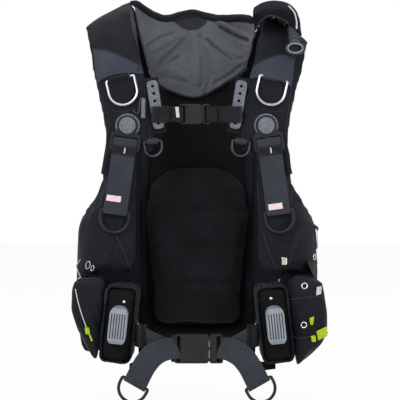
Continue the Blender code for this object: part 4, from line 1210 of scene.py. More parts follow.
# Pixels of the photograph
PAD_FOLDS = (
    Crease(((223, 172), (243, 200), (258, 224)), 2.0, 2.2),
    Crease(((206, 178), (228, 208), (248, 238)), 1.6, 1.2),
    Crease(((168, 176), (150, 205), (138, 236)), 2.0, 2.2),
    Crease(((186, 180), (168, 208), (152, 240)), 1.6, 1.2),
    Crease(((165, 262), (150, 300), (146, 320)), 1.8, 1.6),
    Crease(((226, 262), (240, 300), (243, 322)), 1.8, 1.6))
YOKE_FOLDS = (
    Crease(((221, 27), (232, 34), (248, 41)), 2.2, 8.5),
    Crease(((219, 23), (234, 29), (248, 34)), 2.4, -4.4),
    Crease(((207, 40), (219, 51), (231, 60)), 2.0, 4.4),
    Crease(((211, 38), (224, 47), (240, 55)), 2.6, -2.7),
    Crease(((200, 36), (208, 54), (214, 74)), 2.2, 3.1),
    Crease(((193, 34), (197, 56), (198, 82)), 3.0, -3.4),
    Crease(((184, 40), (172, 52), (160, 62)), 2.4, 4.1),
    Crease(((178, 36), (166, 43), (152, 50)), 2.2, -2.4),
    Crease(((172, 34), (160, 38), (147, 46)), 1.6, 2.4),
    Crease(((152, 72), (163, 64), (178, 58)), 2.2, 3.4),
    Crease(((154, 80), (168, 78), (186, 83)), 2.4, 3.1),
    Crease(((158, 70), (172, 70), (186, 76)), 3.0, -2.5),
    Crease(((214, 84), (228, 76), (241, 66)), 2.4, 2.5),
    Crease(((206, 60), (210, 76), (206, 92)), 2.2, 1.7))
YOKE_SIDES = (((135.5, 6), (138, 25), (142, 42), (146, 58), (149, 70), (152, 80)),
              ((254, 20), (254.5, 31), (252.5, 43), (250, 53), (247.5, 62), (246, 69)))
COLLAR_LINE = ((130, 2.0), (137, 4.4), (145, 9.8), (153, 14.5), (162, 18), (169, 18.2), (180, 15.3),
               (193, 13),
               (206, 16), (217, 18.2), (230, 18.3), (240, 17.8), (249, 19), (254, 23), (257, 29))
COLLAR_LEFT, COLLAR_SPAN = 135.5, 113.5     # where the collar's curl starts and how far it goes on
TAG_EDGES = (((173, 20), (181, 16.5), (190, 14.8), (199, 16.5), (207, 21)),
             ((173, 20.8), (181, 27), (190, 29.8), (199, 28.2), (207, 22)))


@dataclass
class BackAssembly:
    """Back panel, sewn back pad, slack mesh yoke, collar roll and its blank tag."""

    top: tuple[Pixel, ...] = ((135.5, 6), (143, 12), (152, 17.5), (163, 20.5), (177, 17), (191, 14.5),
                              (205, 17.5),
                              (218, 20), (232, 19), (254, 20))
    hem: tuple[Pixel, ...] = ((152, 80), (160, 86), (170, 91.5), (182, 96), (195, 98.3), (206, 95),
                              (216, 89.5),
                              (227, 82.5), (236, 77), (246, 69))
    reach: float = 0.072
    flare: tuple[float, ...] = (0.03, 0.046, 0.054, 0.05, 0.034, 0.014)
    pieces: dict[str, bpy.types.Object] = field(default_factory=dict)

    def build(self) -> None:
        """Makes the soft back and its trims."""
        self.pieces["panel"] = SoftForm("back_panel", INNER, rumples=(0.0012, 0.045)).make()
        self.pieces["pad"] = SoftForm("back_pad", BLACK_MESH, creases=PAD_FOLDS,
                                      rumples=(0.0007, 0.05)).make()
        for piece in self.pieces.values():
            subdivide(piece)
        self.yoke()
        self.collar()
        self.tag()
        self.gussets()

    def gussets(self) -> None:
        """Lining between the wings and the back panel, and the stuffed hem under the panel."""
        height, bow = GUSSET_TOP - GUSSET_LOW, 0.5 * (GUSSET_TOP + GUSSET_LOW)
        for side, tag in ((1, "l"), (-1, "r")):
            points = [mm(side * GUSSET_X, GUSSET_Y, bow + height * (i / 40 - 0.5)) for i in range(41)]
            neck, arm = ([mm(side * (x + out * i), y, z + up * i) for i in range(GUSSET_POINTS)]
                         for x, y, z, out, up in (NECK_GUSSET, ARM_GUSSET))
            for name, line, radius in ((f"wing_gusset_{tag}", points, 0.012),
                                       (f"neck_gusset_{tag}", neck, 0.008),
                                       (f"arm_gusset_{tag}", arm, 0.0085)):
                made = tube(name, line, radius, SHELL, 20)
                rumple(made, 0.0009, 0.03)
                keep(made)
        line = PANEL_HEM + tuple((-x, z) for x, z in PANEL_HEM[-2::-1])
        hem = spline([mm(x, GUSSET_Y - 2, z) for x, z in line], 90)
        made = tube("back_panel_hem", hem, 0.0145, INNER, 24)
        rumple(made, 0.0012, 0.03)
        keep(made)

    def depth(self, share: float, down: float) -> float:
        """How far back the yoke lies: flat behind the neck and curling forward to the shoulders.

        Args:
            share: place from the viewer's left edge, 0 to 1.
            down: place from collar to hem, 0 to 1.
        Returns:
            The depth, as y in metres.
        """
        step = min(down * (len(self.flare) - 1), len(self.flare) - 1.001)
        low = int(step)
        bend = self.flare[low] + (self.flare[low + 1] - self.flare[low]) * (step - low)
        return -self.reach - bend * abs(2 * share - 1) ** 3

    def sheet(self, columns: int, rows: int) -> bmesh.types.BMesh:
        """The slack sheet between collar and hem as a grid.

        Args:
            columns: cells from shoulder to shoulder.
            rows: cells from collar to hem.
        Returns:
            The grid.
        """
        high = spline([Vector((x, y, 0)) for x, y in self.top], columns + 1)
        low = spline([Vector((x, y, 0)) for x, y in self.hem], columns + 1)
        left, right = (spline([Vector((x, y, 0)) for x, y in line], rows + 1) for line in YOKE_SIDES)
        bm = bmesh.new()
        bmesh.ops.create_grid(bm, x_segments=columns, y_segments=rows, size=0.5)
        for vert in bm.verts:
            u, v = vert.co.x + 0.5, 0.5 - vert.co.y
            i, j = min(columns, round(u * columns)), min(rows, round(v * rows))
            flat = high[i].lerp(low[i], v) + left[j].lerp(right[j], u)
            flat -= (high[0].lerp(high[-1], u)).lerp(low[0].lerp(low[-1], u), v)
            pleat = 0.0009 * math.sin(flat.x * 2.1) * max(0.0, 1 - v * 3.2) * max(0.0, 1 - u * 2.2)
            sag = 0.004 * math.sin(math.pi * v) * math.sin(math.pi * u)
            vert.co = seen(flat.x, flat.y, self.depth(u, v) - pleat - sag)
        bmesh.ops.recalc_face_normals(bm, faces=bm.faces[:])
        return bm

    def yoke(self) -> None:
        """Knitted spacer mesh, slack and pulled into folds towards the shoulders."""
        made = finish_piece("yoke_mesh", self.sheet(150, 110), GREY_MESH)
        crease(made, YOKE_FOLDS)
        rumple(made, 0.0006, 0.014, (1.0, 1.0, 2.2), 3.0)
        thicken(made, 0.0035, 0.0012)
        box_map(made.data)
        keep(made)
        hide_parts("neck_yoke")
        self.pieces["yoke"] = made
        skin = Surface(made)
        trim = piping("yoke_hem_binding", skin, [(x, y - 0.8) for x, y in self.hem], 0.0016, BINDING, 60, 0.6)
        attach(trim, "jacket")

    def collar(self) -> None:
        """A stuffed neoprene roll along the top of the yoke, from shoulder to shoulder."""
        points = []
        for x, y in COLLAR_LINE:
            share = min(max((x - COLLAR_LEFT) / COLLAR_SPAN, 0.0), 1.0)
            points.append(seen(x, y, self.depth(share, 0.0) - 0.001))
        smooth = spline(points, 120)
        ends = [min(1.0, 0.45 + 0.11 * min(i, 119 - i)) for i in range(120)]
        made = tube("collar_roll", smooth, [0.0062 * e for e in ends], SHELL, 24)
        rumple(made, 0.0007, 0.016, (1.0, 1.0, 1.0), 1.0)
        keep(made)
        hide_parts("collar")
        self.pieces["collar"] = made

    def tag(self) -> None:
        """A blank lens-shaped satin tag under the middle of the collar."""
        skin = Surface(self.pieces["yoke"], self.pieces["collar"])
        made = patch("collar_tag", skin, *TAG_EDGES, BINDING, 0.0014, 16, 40, 0.0006)
        keep(made)


# Pixels of the small trims on the pockets
ZIP_LINE = ((300, 227), (294, 243), (288, 260), (282.5, 277))
ZIP_PULL, ZIP_STOP = (284.3, 258.0), (280.0, 279.0)
REFLECTIVE_TAG = (((316.5, 287), (316, 295.5)), ((321, 286), (320.5, 294)))
PULL_TABS = ((((309.5, 317.5), (310.5, 324.5)), ((313.8, 316), (312.5, 324.5))),
             (((316, 331), (317.5, 339.5)), ((325, 326.5), (326.5, 334.5))),
             (((310.5, 336), (311.5, 341.5)), ((314.8, 335), (315.2, 341))))
WIRE_HOOKS = ((89.0, 264.5, 0.0062), (93.5, 267.5, 0.0045))     # two pixels and a reach in metres
GATE_WIRE = ((74.5, 272), (76.5, 267.5), (80, 262), (81.6, 259.5))
POCKET_PULL = ((86, 325), (87, 330), (89.5, 334.5), (92, 341))
POCKET_PULL_TAB = (((85.4, 328), (86.4, 334)), ((88.8, 327), (90, 333.5)))


@dataclass
class WingAssembly:
    """One side of the air cell with its pocket, holster, weight pouch and all that is sewn on them."""

    side: int
    tag: str
    panel: tuple[tuple[Pixel, ...], tuple[Pixel, ...]] = ((), ())
    bindings: tuple[tuple[Pixel, ...], ...] = ()
    reflect: tuple[Pixel, ...] = ()
    sewn: tuple[tuple[Pixel, ...], ...] = ()
    wing_folds: tuple[Crease, ...] = ()
    pocket_folds: tuple[Crease, ...] = ()
    mouth: tuple[Pixel, ...] = ()
    studs: tuple[Pixel, ...] = ()
    eyelets: tuple[Pixel, ...] = ()
    pieces: dict[str, bpy.types.Object] = field(default_factory=dict)

    def build(self) -> None:
        """Makes the soft pieces of one side and dresses them."""
        self.pieces["wing"] = SoftForm(f"wing_{self.tag}", SHELL, cap=0.006, slack=0.03,
                                       creases=self.wing_folds,
                                       rumples=(0.0017, 0.045), stretch=(1.0, 1.0, 1.8)).make()
        self.pieces["pocket"] = SoftForm(f"pocket_{self.tag}", SLATE, voxel=0.0038, cap=0.005, slack=0.03,
                                         creases=self.pocket_folds, rumples=(0.0014, 0.03),
                                         stretch=(1.0, 1.0, 1.6)).make()
        self.pieces["holster"] = SoftForm(f"holster_{self.tag}", SHELL, voxel=0.0017, pressure=0.0, settle=3,
                                          padded=False, rumples=(0.0009, 0.03)).make()
        self.pieces["pouch"] = SoftForm(f"weight_pouch_{self.tag}", INNER, pressure=0.0, settle=4,
                                        body=f"weight_{self.tag}", rumples=(0.0006, 0.03)).make()
        self.trims()
        for name in ("wing", "pocket", "pouch"):
            subdivide(self.pieces[name])

    def trims(self) -> None:
        """Panel, bindings, piping, seams, holster mouth, studs and eyelets of this side."""
        skin = Surface(self.pieces["wing"], self.pieces["pocket"])
        left, right = self.panel
        keep(patch(f"side_panel_{self.tag}", skin, left, right, SLATE, 0.0009, 20, 50, 0.0002, 0.0006, 6))
        for number, line in enumerate(self.bindings, 1):
            keep(piping(f"pocket_binding_{self.tag}_{number}", skin, line, 0.0014, BINDING, 50, 0.4))
        if self.reflect:
            keep(piping(f"reflective_piping_{self.tag}", skin, self.reflect, 0.0009, REFLECT, 50, 0.2))
        keep(stitches(f"side_stitches_{self.tag}", [skin.line(line, 80, 0.0002) for line in self.sewn],
                      THREAD))
        rim = Surface(self.pieces["holster"])
        keep(piping(f"holster_binding_{self.tag}", rim, self.mouth, 0.0016, BINDING, 60, 0.4))
        front = Surface(self.pieces["pouch"])
        for number, spot in enumerate(self.studs, 1):
            keep(rivet(f"press_stud_{self.tag}_{number}", front, spot, 0.0026, NICKEL), f"weight_{self.tag}")
        for number, spot in enumerate(self.eyelets, 1):
            keep(eyelet(f"eyelet_{self.tag}_{number}", skin, spot, 0.0044, 0.0011, NICKEL))

    def zip(self, line: Sequence[Pixel], slider: str) -> None:
        """A coil zip with its two tapes, on the pocket.

        Args:
            line: its pixels from end to end.
            slider: the body of its slider.
        """
        skin = Surface(self.pieces["wing"], self.pieces["pocket"])
        for number, shift in enumerate((-2.2, 2.2), 1):
            tape = [(x + shift, y) for x, y in line]
            keep(piping(f"zip_edge_{self.tag}_{number}", skin, tape, 0.0009, BINDING, 50, 0.3))
        keep(stitches(f"zip_coil_{self.tag}", [skin.line(line, 120, 0.0004)], ACETAL, 0.0044, 0.0021,
                      0.0007, True))
        start, normal = skin.pixel(*ZIP_PULL)
        points = [start + normal * (0.006 + 0.0006 * i) + Vector((-0.0006 * i, 0, 0.0002 * i))
                  for i in range(12)]
        keep(tube(f"zip_pull_{self.tag}", points, 0.0016, REFLECT, 10), slider)
        end, normal = skin.pixel(*ZIP_STOP)
        points = [end + normal * 0.002 + Vector((0, 0, -0.0009 * i)) for i in range(10)]
        keep(tube(f"zip_stop_{self.tag}", points, 0.0017, REFLECT, 10))

    def tabs(self) -> None:
        """Bright pull tabs and the small reflective tag at the pocket's edge, wearer's left."""
        skin = Surface(self.pieces["wing"], self.pieces["pocket"])
        keep(patch("reflective_tag", skin, *REFLECTIVE_TAG, REFLECT, 0.0012, 6, 8, 0.0008))
        for number, (left, right) in enumerate(PULL_TABS, 1):
            keep(patch(f"pull_tab_{number}", skin, left, right, NEON, 0.0026, 10, 12, 0.0012, 0.0012))

    def snap_hooks(self) -> None:
        """Two small wire hooks and a bright pull on the pocket's flap, wearer's right."""
        skin = Surface(self.pieces["wing"], self.pieces["pocket"])
        for number, (x, y, reach) in enumerate(WIRE_HOOKS, 1):
            middle, normal = skin.pixel(x, y)
            up = Vector((0.25, 0, 1)).normalized()
            wide = up.cross(normal).normalized()
            points = []
            for i in range(20):
                a = math.tau * i / 20
                points.append(middle + normal * 0.003 + wide * reach * 0.6 * math.cos(a)
                              + up * reach * math.sin(a))
            keep(tube(f"wire_hook_{number}", points, 0.0009, STEEL, 8, True))
        keep(piping("gate_wire", skin, GATE_WIRE, 0.001, STEEL, 24, -1.0))
        keep(piping("pocket_pull", skin, POCKET_PULL, 0.0015, NEON, 30, 0.0))
        keep(patch("pocket_pull_tab", skin, *POCKET_PULL_TAB, NEON, 0.0026, 8, 8, 0.0012, 0.001))


LEFT_WING = WingAssembly(
    1, "l", (((299, 226), (293, 243), (287.5, 262), (284.5, 283), (286, 306), (290, 334)),
             ((311, 226), (316, 245), (318.5, 266), (319, 290), (321, 310), (316, 336))),
    (((262, 228), (268, 250), (276, 268)), ((286, 300), (303, 298), (320, 296)),
     ((290, 336), (304, 338), (317, 334))),
    (), (((256, 100), (257, 140), (258, 200)), ((310, 228), (315, 246), (317.5, 266)),
         ((287, 303), (303, 301), (320, 299))),
    (Crease(((262, 232), (272, 248), (276, 266)), 2.4, 3.0),
     Crease(((270, 236), (282, 244), (292, 240)), 2.4, 2.0),
     Crease(((296, 150), (300, 180), (306, 205)), 2.4, 2.0)),
    (Crease(((292, 312), (304, 308), (318, 306)), 2.0, 1.6),
     Crease(((296, 326), (306, 320), (316, 318)), 2.0, 1.4)),
    ((258, 300), (259, 286), (264, 281), (272, 282), (279, 288), (283, 298)), ((271, 298.5), (275, 307)),
    ((314, 257), (304.5, 286), (304, 325)))
RIGHT_WING = WingAssembly(
    -1, "r", (((89, 226), (84, 238), (80, 250), (78.5, 264)),
              ((113, 226), (114, 240), (112.5, 252), (108, 266))),
    (((74.5, 273.5), (85, 274.5), (97, 276), (110, 279.5)), ((111, 281), (106.5, 300), (102, 322), (99, 344)),
     ((112, 228), (120, 244), (128, 262), (131, 272))),
    ((75.6, 289), (78.5, 303), (82, 315), (86, 326)),
    (((143, 100), (142, 140), (141, 200)), ((76, 277), (90, 278.5), (108, 282)),
     ((89, 229), (84, 240), (80.5, 252))),
    (Crease(((114, 232), (120, 246), (127, 262)), 2.2, 3.2),
     Crease(((108, 234), (112, 248), (118, 262)), 2.4, -1.6),
     Crease(((100, 160), (97, 185), (90, 210)), 2.4, 2.0)),
    (Crease(((80, 281), (89, 301), (98, 322)), 1.6, 2.2),
     Crease(((86, 282), (94, 300), (100, 318)), 2.2, -1.2)),
    ((105, 304), (107, 288), (113, 281), (124, 280), (131, 286), (133, 300)), ((124, 302), (121.5, 311)))


# Pixels of the labels' edges
TAIL_LABELS = {"r": (((107, 194.5), (106, 200.5)), ((121.5, 196.5), (120.5, 202.5))),
               "l": (((268, 204.5), (269, 210.5)), ((282, 202.5), (283, 208.5)))}
CHEST_STRIP = (((175.2, 107), (176.4, 117.5)), ((178.6, 107), (179.6, 117.5)))
# Elastic loop on the waist webbing, millimetres and degrees
KEEPER_AT, KEEPER_SIZE, KEEPER_TURN = (84.0, -195.0, -171.0), (8.0, 6.0, 43.0, 1.0), 16.0


@dataclass
class StrapAssembly:
    """All the webbing of the harness: tails, load straps, waist, chest and the cylinder band."""

    web: float = 38.0
    thick: float = 2.0
    chest_web: float = 25.0
    chest_thick: float = 1.5
    swivel: tuple[float, float] = (111.0, 168.0)
    tilt: float = -8.0
    frame_mid: float = -191.6
    tail_y: float = -194.7
    bar_y: float = -190.5
    curl: float = 4.2
    tail_end: float = -139.0
    load_y: float = -188.4
    waist_y: float = -205.0
    waist_z: float = -187.0
    chest_y: float = -190.8
    chest_z: float = 186.0
    skirt_top: float = -165.0
    skirt_x: float = 85.0
    wall_x: float = 95.0
    holster_low: float = -213.5
    pieces: dict[str, bpy.types.Object] = field(default_factory=dict)

    def build(self) -> None:
        """Makes each strap; some ride on one of the bodies that they run between."""
        for side, tag in ((1, "l"), (-1, "r")):
            self.shoulder_straps(side, tag)
            self.waist(side, tag)
            self.chest(side, tag)
            self.tail_trims(side, tag)
            self.rail_backing(side, tag)
            self.keeper(side, tag)
            self.skirt(side, tag)
        self.band()
        self.labels()

    def skirt(self, side: int, tag: str) -> None:
        """A lining flap that hangs under the holster beside the waist webbing.

        Args:
            side: 1 for the wearer's left, -1 for the right.
            tag: ending of the piece's name.
        """
        low, reach = ((-226.0, 128.0), (-233.0, 110.0))[side < 0]
        bm = bmesh.new()
        bmesh.ops.create_grid(bm, x_segments=12, y_segments=30, size=0.5)
        for vert in bm.verts:
            u, v = vert.co.x + 0.5, 0.5 - vert.co.y
            z = self.skirt_top + (low - self.skirt_top) * v
            wide = min(max((self.holster_low - z) / 4.0, 0.0), 1.0)
            x = self.skirt_x + (self.wall_x + (reach - self.wall_x) * wide - self.skirt_x) * u
            vert.co = mm(side * x, -150.0 - 3.0 * math.sin(5 * v + 2 * u), z - 6.0 * (1 - u) * v)
        bmesh.ops.recalc_face_normals(bm, faces=bm.faces[:])
        made = finish_piece(f"holster_skirt_{tag}", bm, INNER)
        thicken(made, 0.0024)
        box_map(made.data)
        keep(made)

    def swung(self, side: int, y: float, z: float, x: float = 0.0) -> Vector:
        """A point measured along the tilted line of a swivel buckle."""
        turned = Matrix.Rotation(math.radians(self.tilt * side), 3, "Y") @ Vector((x, 0, z))
        return mm(side * self.swivel[0] + turned.x, y, self.swivel[1] + turned.z)

    def across(self, side: int) -> Vector:
        """Direction across the tilted shoulder webbing."""
        return Matrix.Rotation(math.radians(self.tilt * side), 3, "Y") @ Vector((1, 0, 0))

    def shoulder_straps(self, side: int, tag: str) -> None:
        """The hanging tail through the ladder lock, and the load strap behind it.

        Args:
            side: 1 for the wearer's left, -1 for the right.
            tag: l or r.
        """
        end, curl = self.tail_end, self.curl
        path = [(self.frame_mid + 0.8, -21.0), (self.frame_mid - 1.2, -21.2), (self.tail_y + 0.6, -22.6),
                (self.tail_y, -25), (self.tail_y, -60), (self.tail_y - 0.5, -95), (self.tail_y, end)]
        path += [(self.bar_y - curl * math.cos(math.radians(a)), end - curl * math.sin(math.radians(a)))
                 for a in (35, 70, 105, 140, 175)]
        path += [(self.bar_y + curl - 0.2, end + 2), (self.bar_y + curl - 1.6, end + 5.2),
                 (self.bar_y + 0.2, end + 8.2), (self.tail_y + 2.6, end + 12), (self.tail_y + 2.6, end + 22)]
        points = [self.swung(side, y, z) for y, z in path]
        tail = strip(f"tail_webbing_{tag}", points, [self.across(side)] * len(points), self.web * 0.001,
                     self.thick * 0.001, WEBBING, 90)
        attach(tail, f"swivel_{tag}")
        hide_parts(f"strap_tail_{tag}")
        path = [(self.load_y, -27), (self.load_y, -50), (self.load_y + 1.5, -85), (self.load_y + 4, -115),
                (self.load_y + 5.2, -135), (self.load_y + 5.2, -158)]
        points = [self.swung(side, y, z) for y, z in path]
        load = strip(f"load_webbing_{tag}", points, [self.across(side)] * len(points), self.web * 0.001,
                     self.thick * 0.001, BLACK_WEB, 60)
        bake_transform(load)
        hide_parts(f"load_strap_{tag}")
        self.pieces[f"tail_{tag}"] = tail
        LOG.info("shoulder webbing %s", tag)

    def threaded(self, edge: float, spot_y: float, thick: float, web_t: float) -> list[tuple[float, float]]:
        """Plan points of webbing that goes behind a strap bar, through its slot and out in front.

        Args:
            edge: end of the buckle along x, in millimetres.
            spot_y: middle of the buckle.
            thick: its thickness.
            web_t: thickness of the webbing.
        Returns:
            Points x, y.
        """
        off = thick / 2 - 3.2 + 0.4 + web_t / 2
        inside = [(edge + 6, off), (edge - 4.4, off), (edge - 5.2 - web_t / 2, off - 0.5),
                  (edge - 6.0 - web_t / 2, off - 2.0)]
        return [(x, spot_y + y) for x, y in inside] + [(x, spot_y - y) for x, y in reversed(inside)]

    def waist(self, side: int, tag: str) -> None:
        """Waist webbing from the holster through its buckle end, with the curling tail.

        Args:
            side: 1 for the wearer's left, -1 for the right.
            tag: l or r.
        """
        edge = 41.8 if side > 0 else 36.6
        slope = math.tan(math.radians(-6.0))
        wall = 125.0 - 26.0 / math.cos(math.radians(6.0)) - 1.6 - 16 * slope
        lean = (slope, 0, 1)
        path = [(wall, -130, -166), (wall, -170, -166), (wall - 0.6, -182, -167), (wall - 5, -190, -168),
                (wall - 16, -195, -171), (wall - 28, -198, -177)]
        across = [lean, lean, lean, (0, 0, 1), (0, 0, 1), (0.05, 0, 1)]
        turn = self.threaded(edge, self.waist_y, 14.0, self.thick)
        path += [(x, y, self.waist_z) for x, y in turn]
        across += [(0, 0, 1)] * len(turn)
        tail = [(58, -215, -190), (70, -217, -197), (81, -219.5, -210), (90, -222, -226), (97, -224, -240)]
        across += [(0.25, 0, 1), (0.5, 0, 0.87), (0.7, 0, 0.72), (0.84, 0, 0.54), (0.88, 0, 0.47)]
        along = (Vector(tail[-1]) - Vector(tail[-2])).normalized()
        bar = Vector(tail[-1]) + Vector((0, self.curl, 0))
        path += tail
        for a in (35, 70, 105, 140, 175):
            round_bar = along * math.sin(math.radians(a)) - Vector((0, 1, 0)) * math.cos(math.radians(a))
            path.append(tuple(bar + round_bar * self.curl))
            across.append((0.88, 0, 0.47))
        points = [mm(side * x, y, z) for x, y, z in path]
        wide = [Vector((side * a, b, c)) for a, b, c in across]
        made = strip(f"waist_webbing_{tag}", points, wide, self.web * 0.001, self.thick * 0.001, WEBBING, 140)
        if side > 0:
            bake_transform(made)
        else:
            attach(made, "jacket")
        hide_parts(f"waist_strap_{tag}")
        LOG.info("waist webbing %s", tag)

    def chest(self, side: int, tag: str) -> None:
        """Chest webbing between the sliding clip and the chest buckle.

        Args:
            side: 1 for the wearer's left, -1 for the right.
            tag: l or r.
        """
        edge = 22.0 if side > 0 else 29.0
        turn = self.threaded(edge, self.chest_y, 11.0, self.chest_thick)
        path = [(68, -189.65), (52, -189.65), (46, -189.65)] + turn + [(edge + 10, turn[-1][1])]
        points = [mm(side * x, y, self.chest_z) for x, y in path]
        made = strip(f"chest_webbing_{tag}", points, [Vector((0, 0, 1))] * len(points),
                     self.chest_web * 0.001,
                     self.chest_thick * 0.001, BLACK_WEB, 80)
        if side > 0:
            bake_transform(made)
        else:
            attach(made, "sternum_strap")
        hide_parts(f"sternum_strap_{tag}")
        self.pieces[f"chest_{tag}"] = made
        LOG.info("chest webbing %s", tag)

    def band(self) -> None:
        """The cylinder band: a closed loop through the plate's windows and round the cylinder."""
        reach, centre, seat = 93.3, 89.3308, -24.9
        path = [(-20, seat), (20, seat), (52, seat), (58, seat + 5), (60.5, seat + 16)]
        for i in range(31):
            theta = math.radians(42 + 276 * i / 30)
            path.append((reach * math.sin(theta), centre - reach * math.cos(theta)))
        path += [(-60.5, seat + 16), (-58, seat + 5), (-52, seat), (-20, seat)]
        points = [mm(x, y, 60.0) for x, y in path]
        made = strip("band_webbing", points, [Vector((0, 0, 1))] * len(points), 0.05, 0.0026, BLACK_WEB, 160)
        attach(made, "jacket")
        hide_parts("tank_band")
        LOG.info("cylinder band")

    def tail_trims(self, side: int, tag: str) -> None:
        """The stitched tab under the ladder lock, its bar tack, and the sewn end of the tail.

        Args:
            side: 1 for the wearer's left, -1 for the right.
            tag: l or r.
        """
        body = f"swivel_{tag}"
        front = self.tail_y - self.thick / 2
        wide = self.across(side)
        points = [self.swung(side, front - 0.7, z) for z in (-33, -38, -43, -48)]
        keep(strip(f"tail_tab_{tag}", points, [wide] * 4, 0.0365, 0.0013, BLACK_WEB, 14), body)
        points = [self.swung(side, front - 1.6, z, 1.5) for z in (-36, -40, -45)]
        keep(strip(f"bar_tack_{tag}", points, [wide] * 3, 0.0022, 0.0007, REFLECT, 10, 2), body)
        runs = []
        for z in (-34.5, -46.5):
            line = [self.swung(side, front - 1.5, z, x) for x in range(-16, 17, 2)]
            runs.append((line, [Vector((0, -1, 0))] * len(line)))
        for z in (-122.0, -126.0, -133.0):
            line = [self.swung(side, front - 0.35, z, x) for x in range(-17, 18, 2)]
            runs.append((line, [Vector((0, -1, 0))] * len(line)))
        keep(stitches(f"tail_stitches_{tag}", runs, THREAD, 0.0026, 0.0036, 0.0004), body)

    def rail_backing(self, side: int, tag: str) -> None:
        """Black webbing sewn behind the pierced rail of the chest strap.

        Args:
            side: 1 for the wearer's left, -1 for the right.
            tag: l or r.
        """
        turn = Matrix.Rotation(math.radians(9.0 * side), 3, "Y")
        points = [mm(side * 67.5, -177.4, 202.0) + turn @ Vector((0, 0, z * 0.001))
                  for z in (-46, -20, 8, 44)]
        made = strip(f"rail_backing_{tag}", points, [turn @ Vector((1, 0, 0))] * 4, 0.024, 0.0016,
                     BLACK_WEB, 30)
        keep(made, "jacket")

    def keeper(self, side: int, tag: str) -> None:
        """An elastic loop that holds the waist webbing against the holster.

        Args:
            side: 1 for the wearer's left, -1 for the right.
            tag: l or r.
        """
        bm = bmesh.new()
        turn = Matrix.Rotation(math.radians(KEEPER_TURN * side), 4, "Z")
        place = Matrix.Translation(mm(side * KEEPER_AT[0], *KEEPER_AT[1:])) @ turn
        made = bmesh.ops.create_cube(bm, size=0.001, matrix=place @ Matrix.Diagonal(KEEPER_SIZE))["verts"]
        edges = list({e for v in made for e in v.link_edges})
        bmesh.ops.bevel(bm, geom=edges, offset=0.0014, segments=3, affect="EDGES", profile=0.5, material=-1)
        keep(finish_piece(f"waist_keeper_{tag}", bm, BLACK_WEB), "jacket")

    def labels(self) -> None:
        """Blank woven labels on the tails, and the white strip on the chest strap."""
        for tag, edges in TAIL_LABELS.items():
            tail = Surface(self.pieces[f"tail_{tag}"])
            keep(patch(f"tail_label_{tag}", tail, *edges, TAG, 0.0009, 16, 8, 0.0004), f"swivel_{tag}")
        made = patch("chest_strip", Surface(self.pieces["chest_r"]), *CHEST_STRIP, REFLECT, 0.001, 6, 10,
                     0.0004)
        keep(made, "sternum_strap")


def refined(node: str, finish: Finish, body: str, width: float = 0.6, segments: int = 3,
            angle: float = 32.0) -> bpy.types.Object:
    """A moulded copy of a hard CAD node, with rounded edges.

    Args:
        node: the CAD node.
        finish: its surface.
        body: the body it rides on.
        width: edge radius in millimetres.
        segments: facets round an edge.
        angle: edges sharper than this are rounded.
    Returns:
        The piece.
    """
    bm = node_copy(node)
    bmesh.ops.dissolve_limit(bm, angle_limit=math.radians(1.5), verts=bm.verts[:], edges=bm.edges[:])
    made = finish_piece(node + "_moulded", bm, finish)
    edge = made.modifiers.new("edge", "BEVEL")
    edge.width = width * 0.001
    edge.segments = segments
    edge.limit_method = "ANGLE"
    edge.angle_limit = math.radians(angle)
    edge.harden_normals = True
    edge.use_clamp_overlap = True
    swap_mesh(made, baked(made))
    made.data.set_sharp_from_angle(angle=math.radians(40))
    box_map(made.data)
    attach(made, body)
    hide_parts(node)
    LOG.info("%s: %d faces", made.name, len(made.data.polygons))
    return made


@dataclass
class DRing:
    """A D-shaped ring of round wire hanging from its straight bar."""

    node: str
    body: str
    centre: Point
    bar: Point
    hang: Point
    width: float
    height: float
    wire: float
    finish: Finish

    def build(self) -> bpy.types.Object:
        """Sweeps the wire round the D.

        Returns:
            The ring.
        """
        bar = Vector(self.bar).normalized()
        down = Vector(self.hang)
        down = (down - bar * down.dot(bar)).normalized()
        half = (self.width - self.wire) / 2
        drop = self.height - self.wire - half
        flat = [(-half + 2, 0), (-half / 2, 0), (0, 0), (half / 2, 0), (half - 2, 0), (half - 0.6, 0.6),
                (half, 2)]
        flat += [(half, drop * 0.5), (half, drop)]
        flat += [(half * math.cos(math.radians(a)), drop + half * math.sin(math.radians(a)))
                 for a in range(15, 180, 15)]
        flat += [(-half, drop), (-half, drop * 0.5), (-half, 2), (-half + 0.6, 0.6)]
        points = [mm(*self.centre) + (bar * u + down * v) * 0.001 for u, v in flat]
        made = tube(self.node + "_wire", spline(points, 96, closed=True), self.wire / 2000, self.finish, 16,
                    True)
        keep(made, self.body)
        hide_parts(self.node)
        return made


# Outer width, outer height and wire of each ring, millimetres
SHOULDER_RING = (50.0, 49.0, 4.6)
CHEST_RING = (32.0, 28.0, 4.0)
TAIL_RING = (50.0, 38.0, 5.0)
WAIST_RING = (50.0, 36.0, 5.0)
SIDE_RING = (36.0, 34.0, 4.0)
LOOP_SIZE, LOOP_AT = (15.0, 2.2, 43.0), (33.5, -203.4, -187.0)      # webbing loop at the waist buckle
# The grooved part of a grip is where the painted shade goes
GROOVE_X, GROOVE_Z = 0.0145, 0.023          # half the size of the grooved part of a grip, metres
GROOVE_RIM, GROOVE_DEPTH = 0.0002, 0.004
CORD_WIDTH = 0.0018
# Two pixels and a depth in millimetres for each point of the dump cord
CORD_ROUTE = ((133.5, 109.5, -188.5), (135, 112.5, -190), (137, 113.5, -191), (138.8, 111.5, -192),
              (139.3, 107, -193), (139.6, 102.5, -193), (140.8, 98.8, -192), (142.6, 97.6, -189.5))


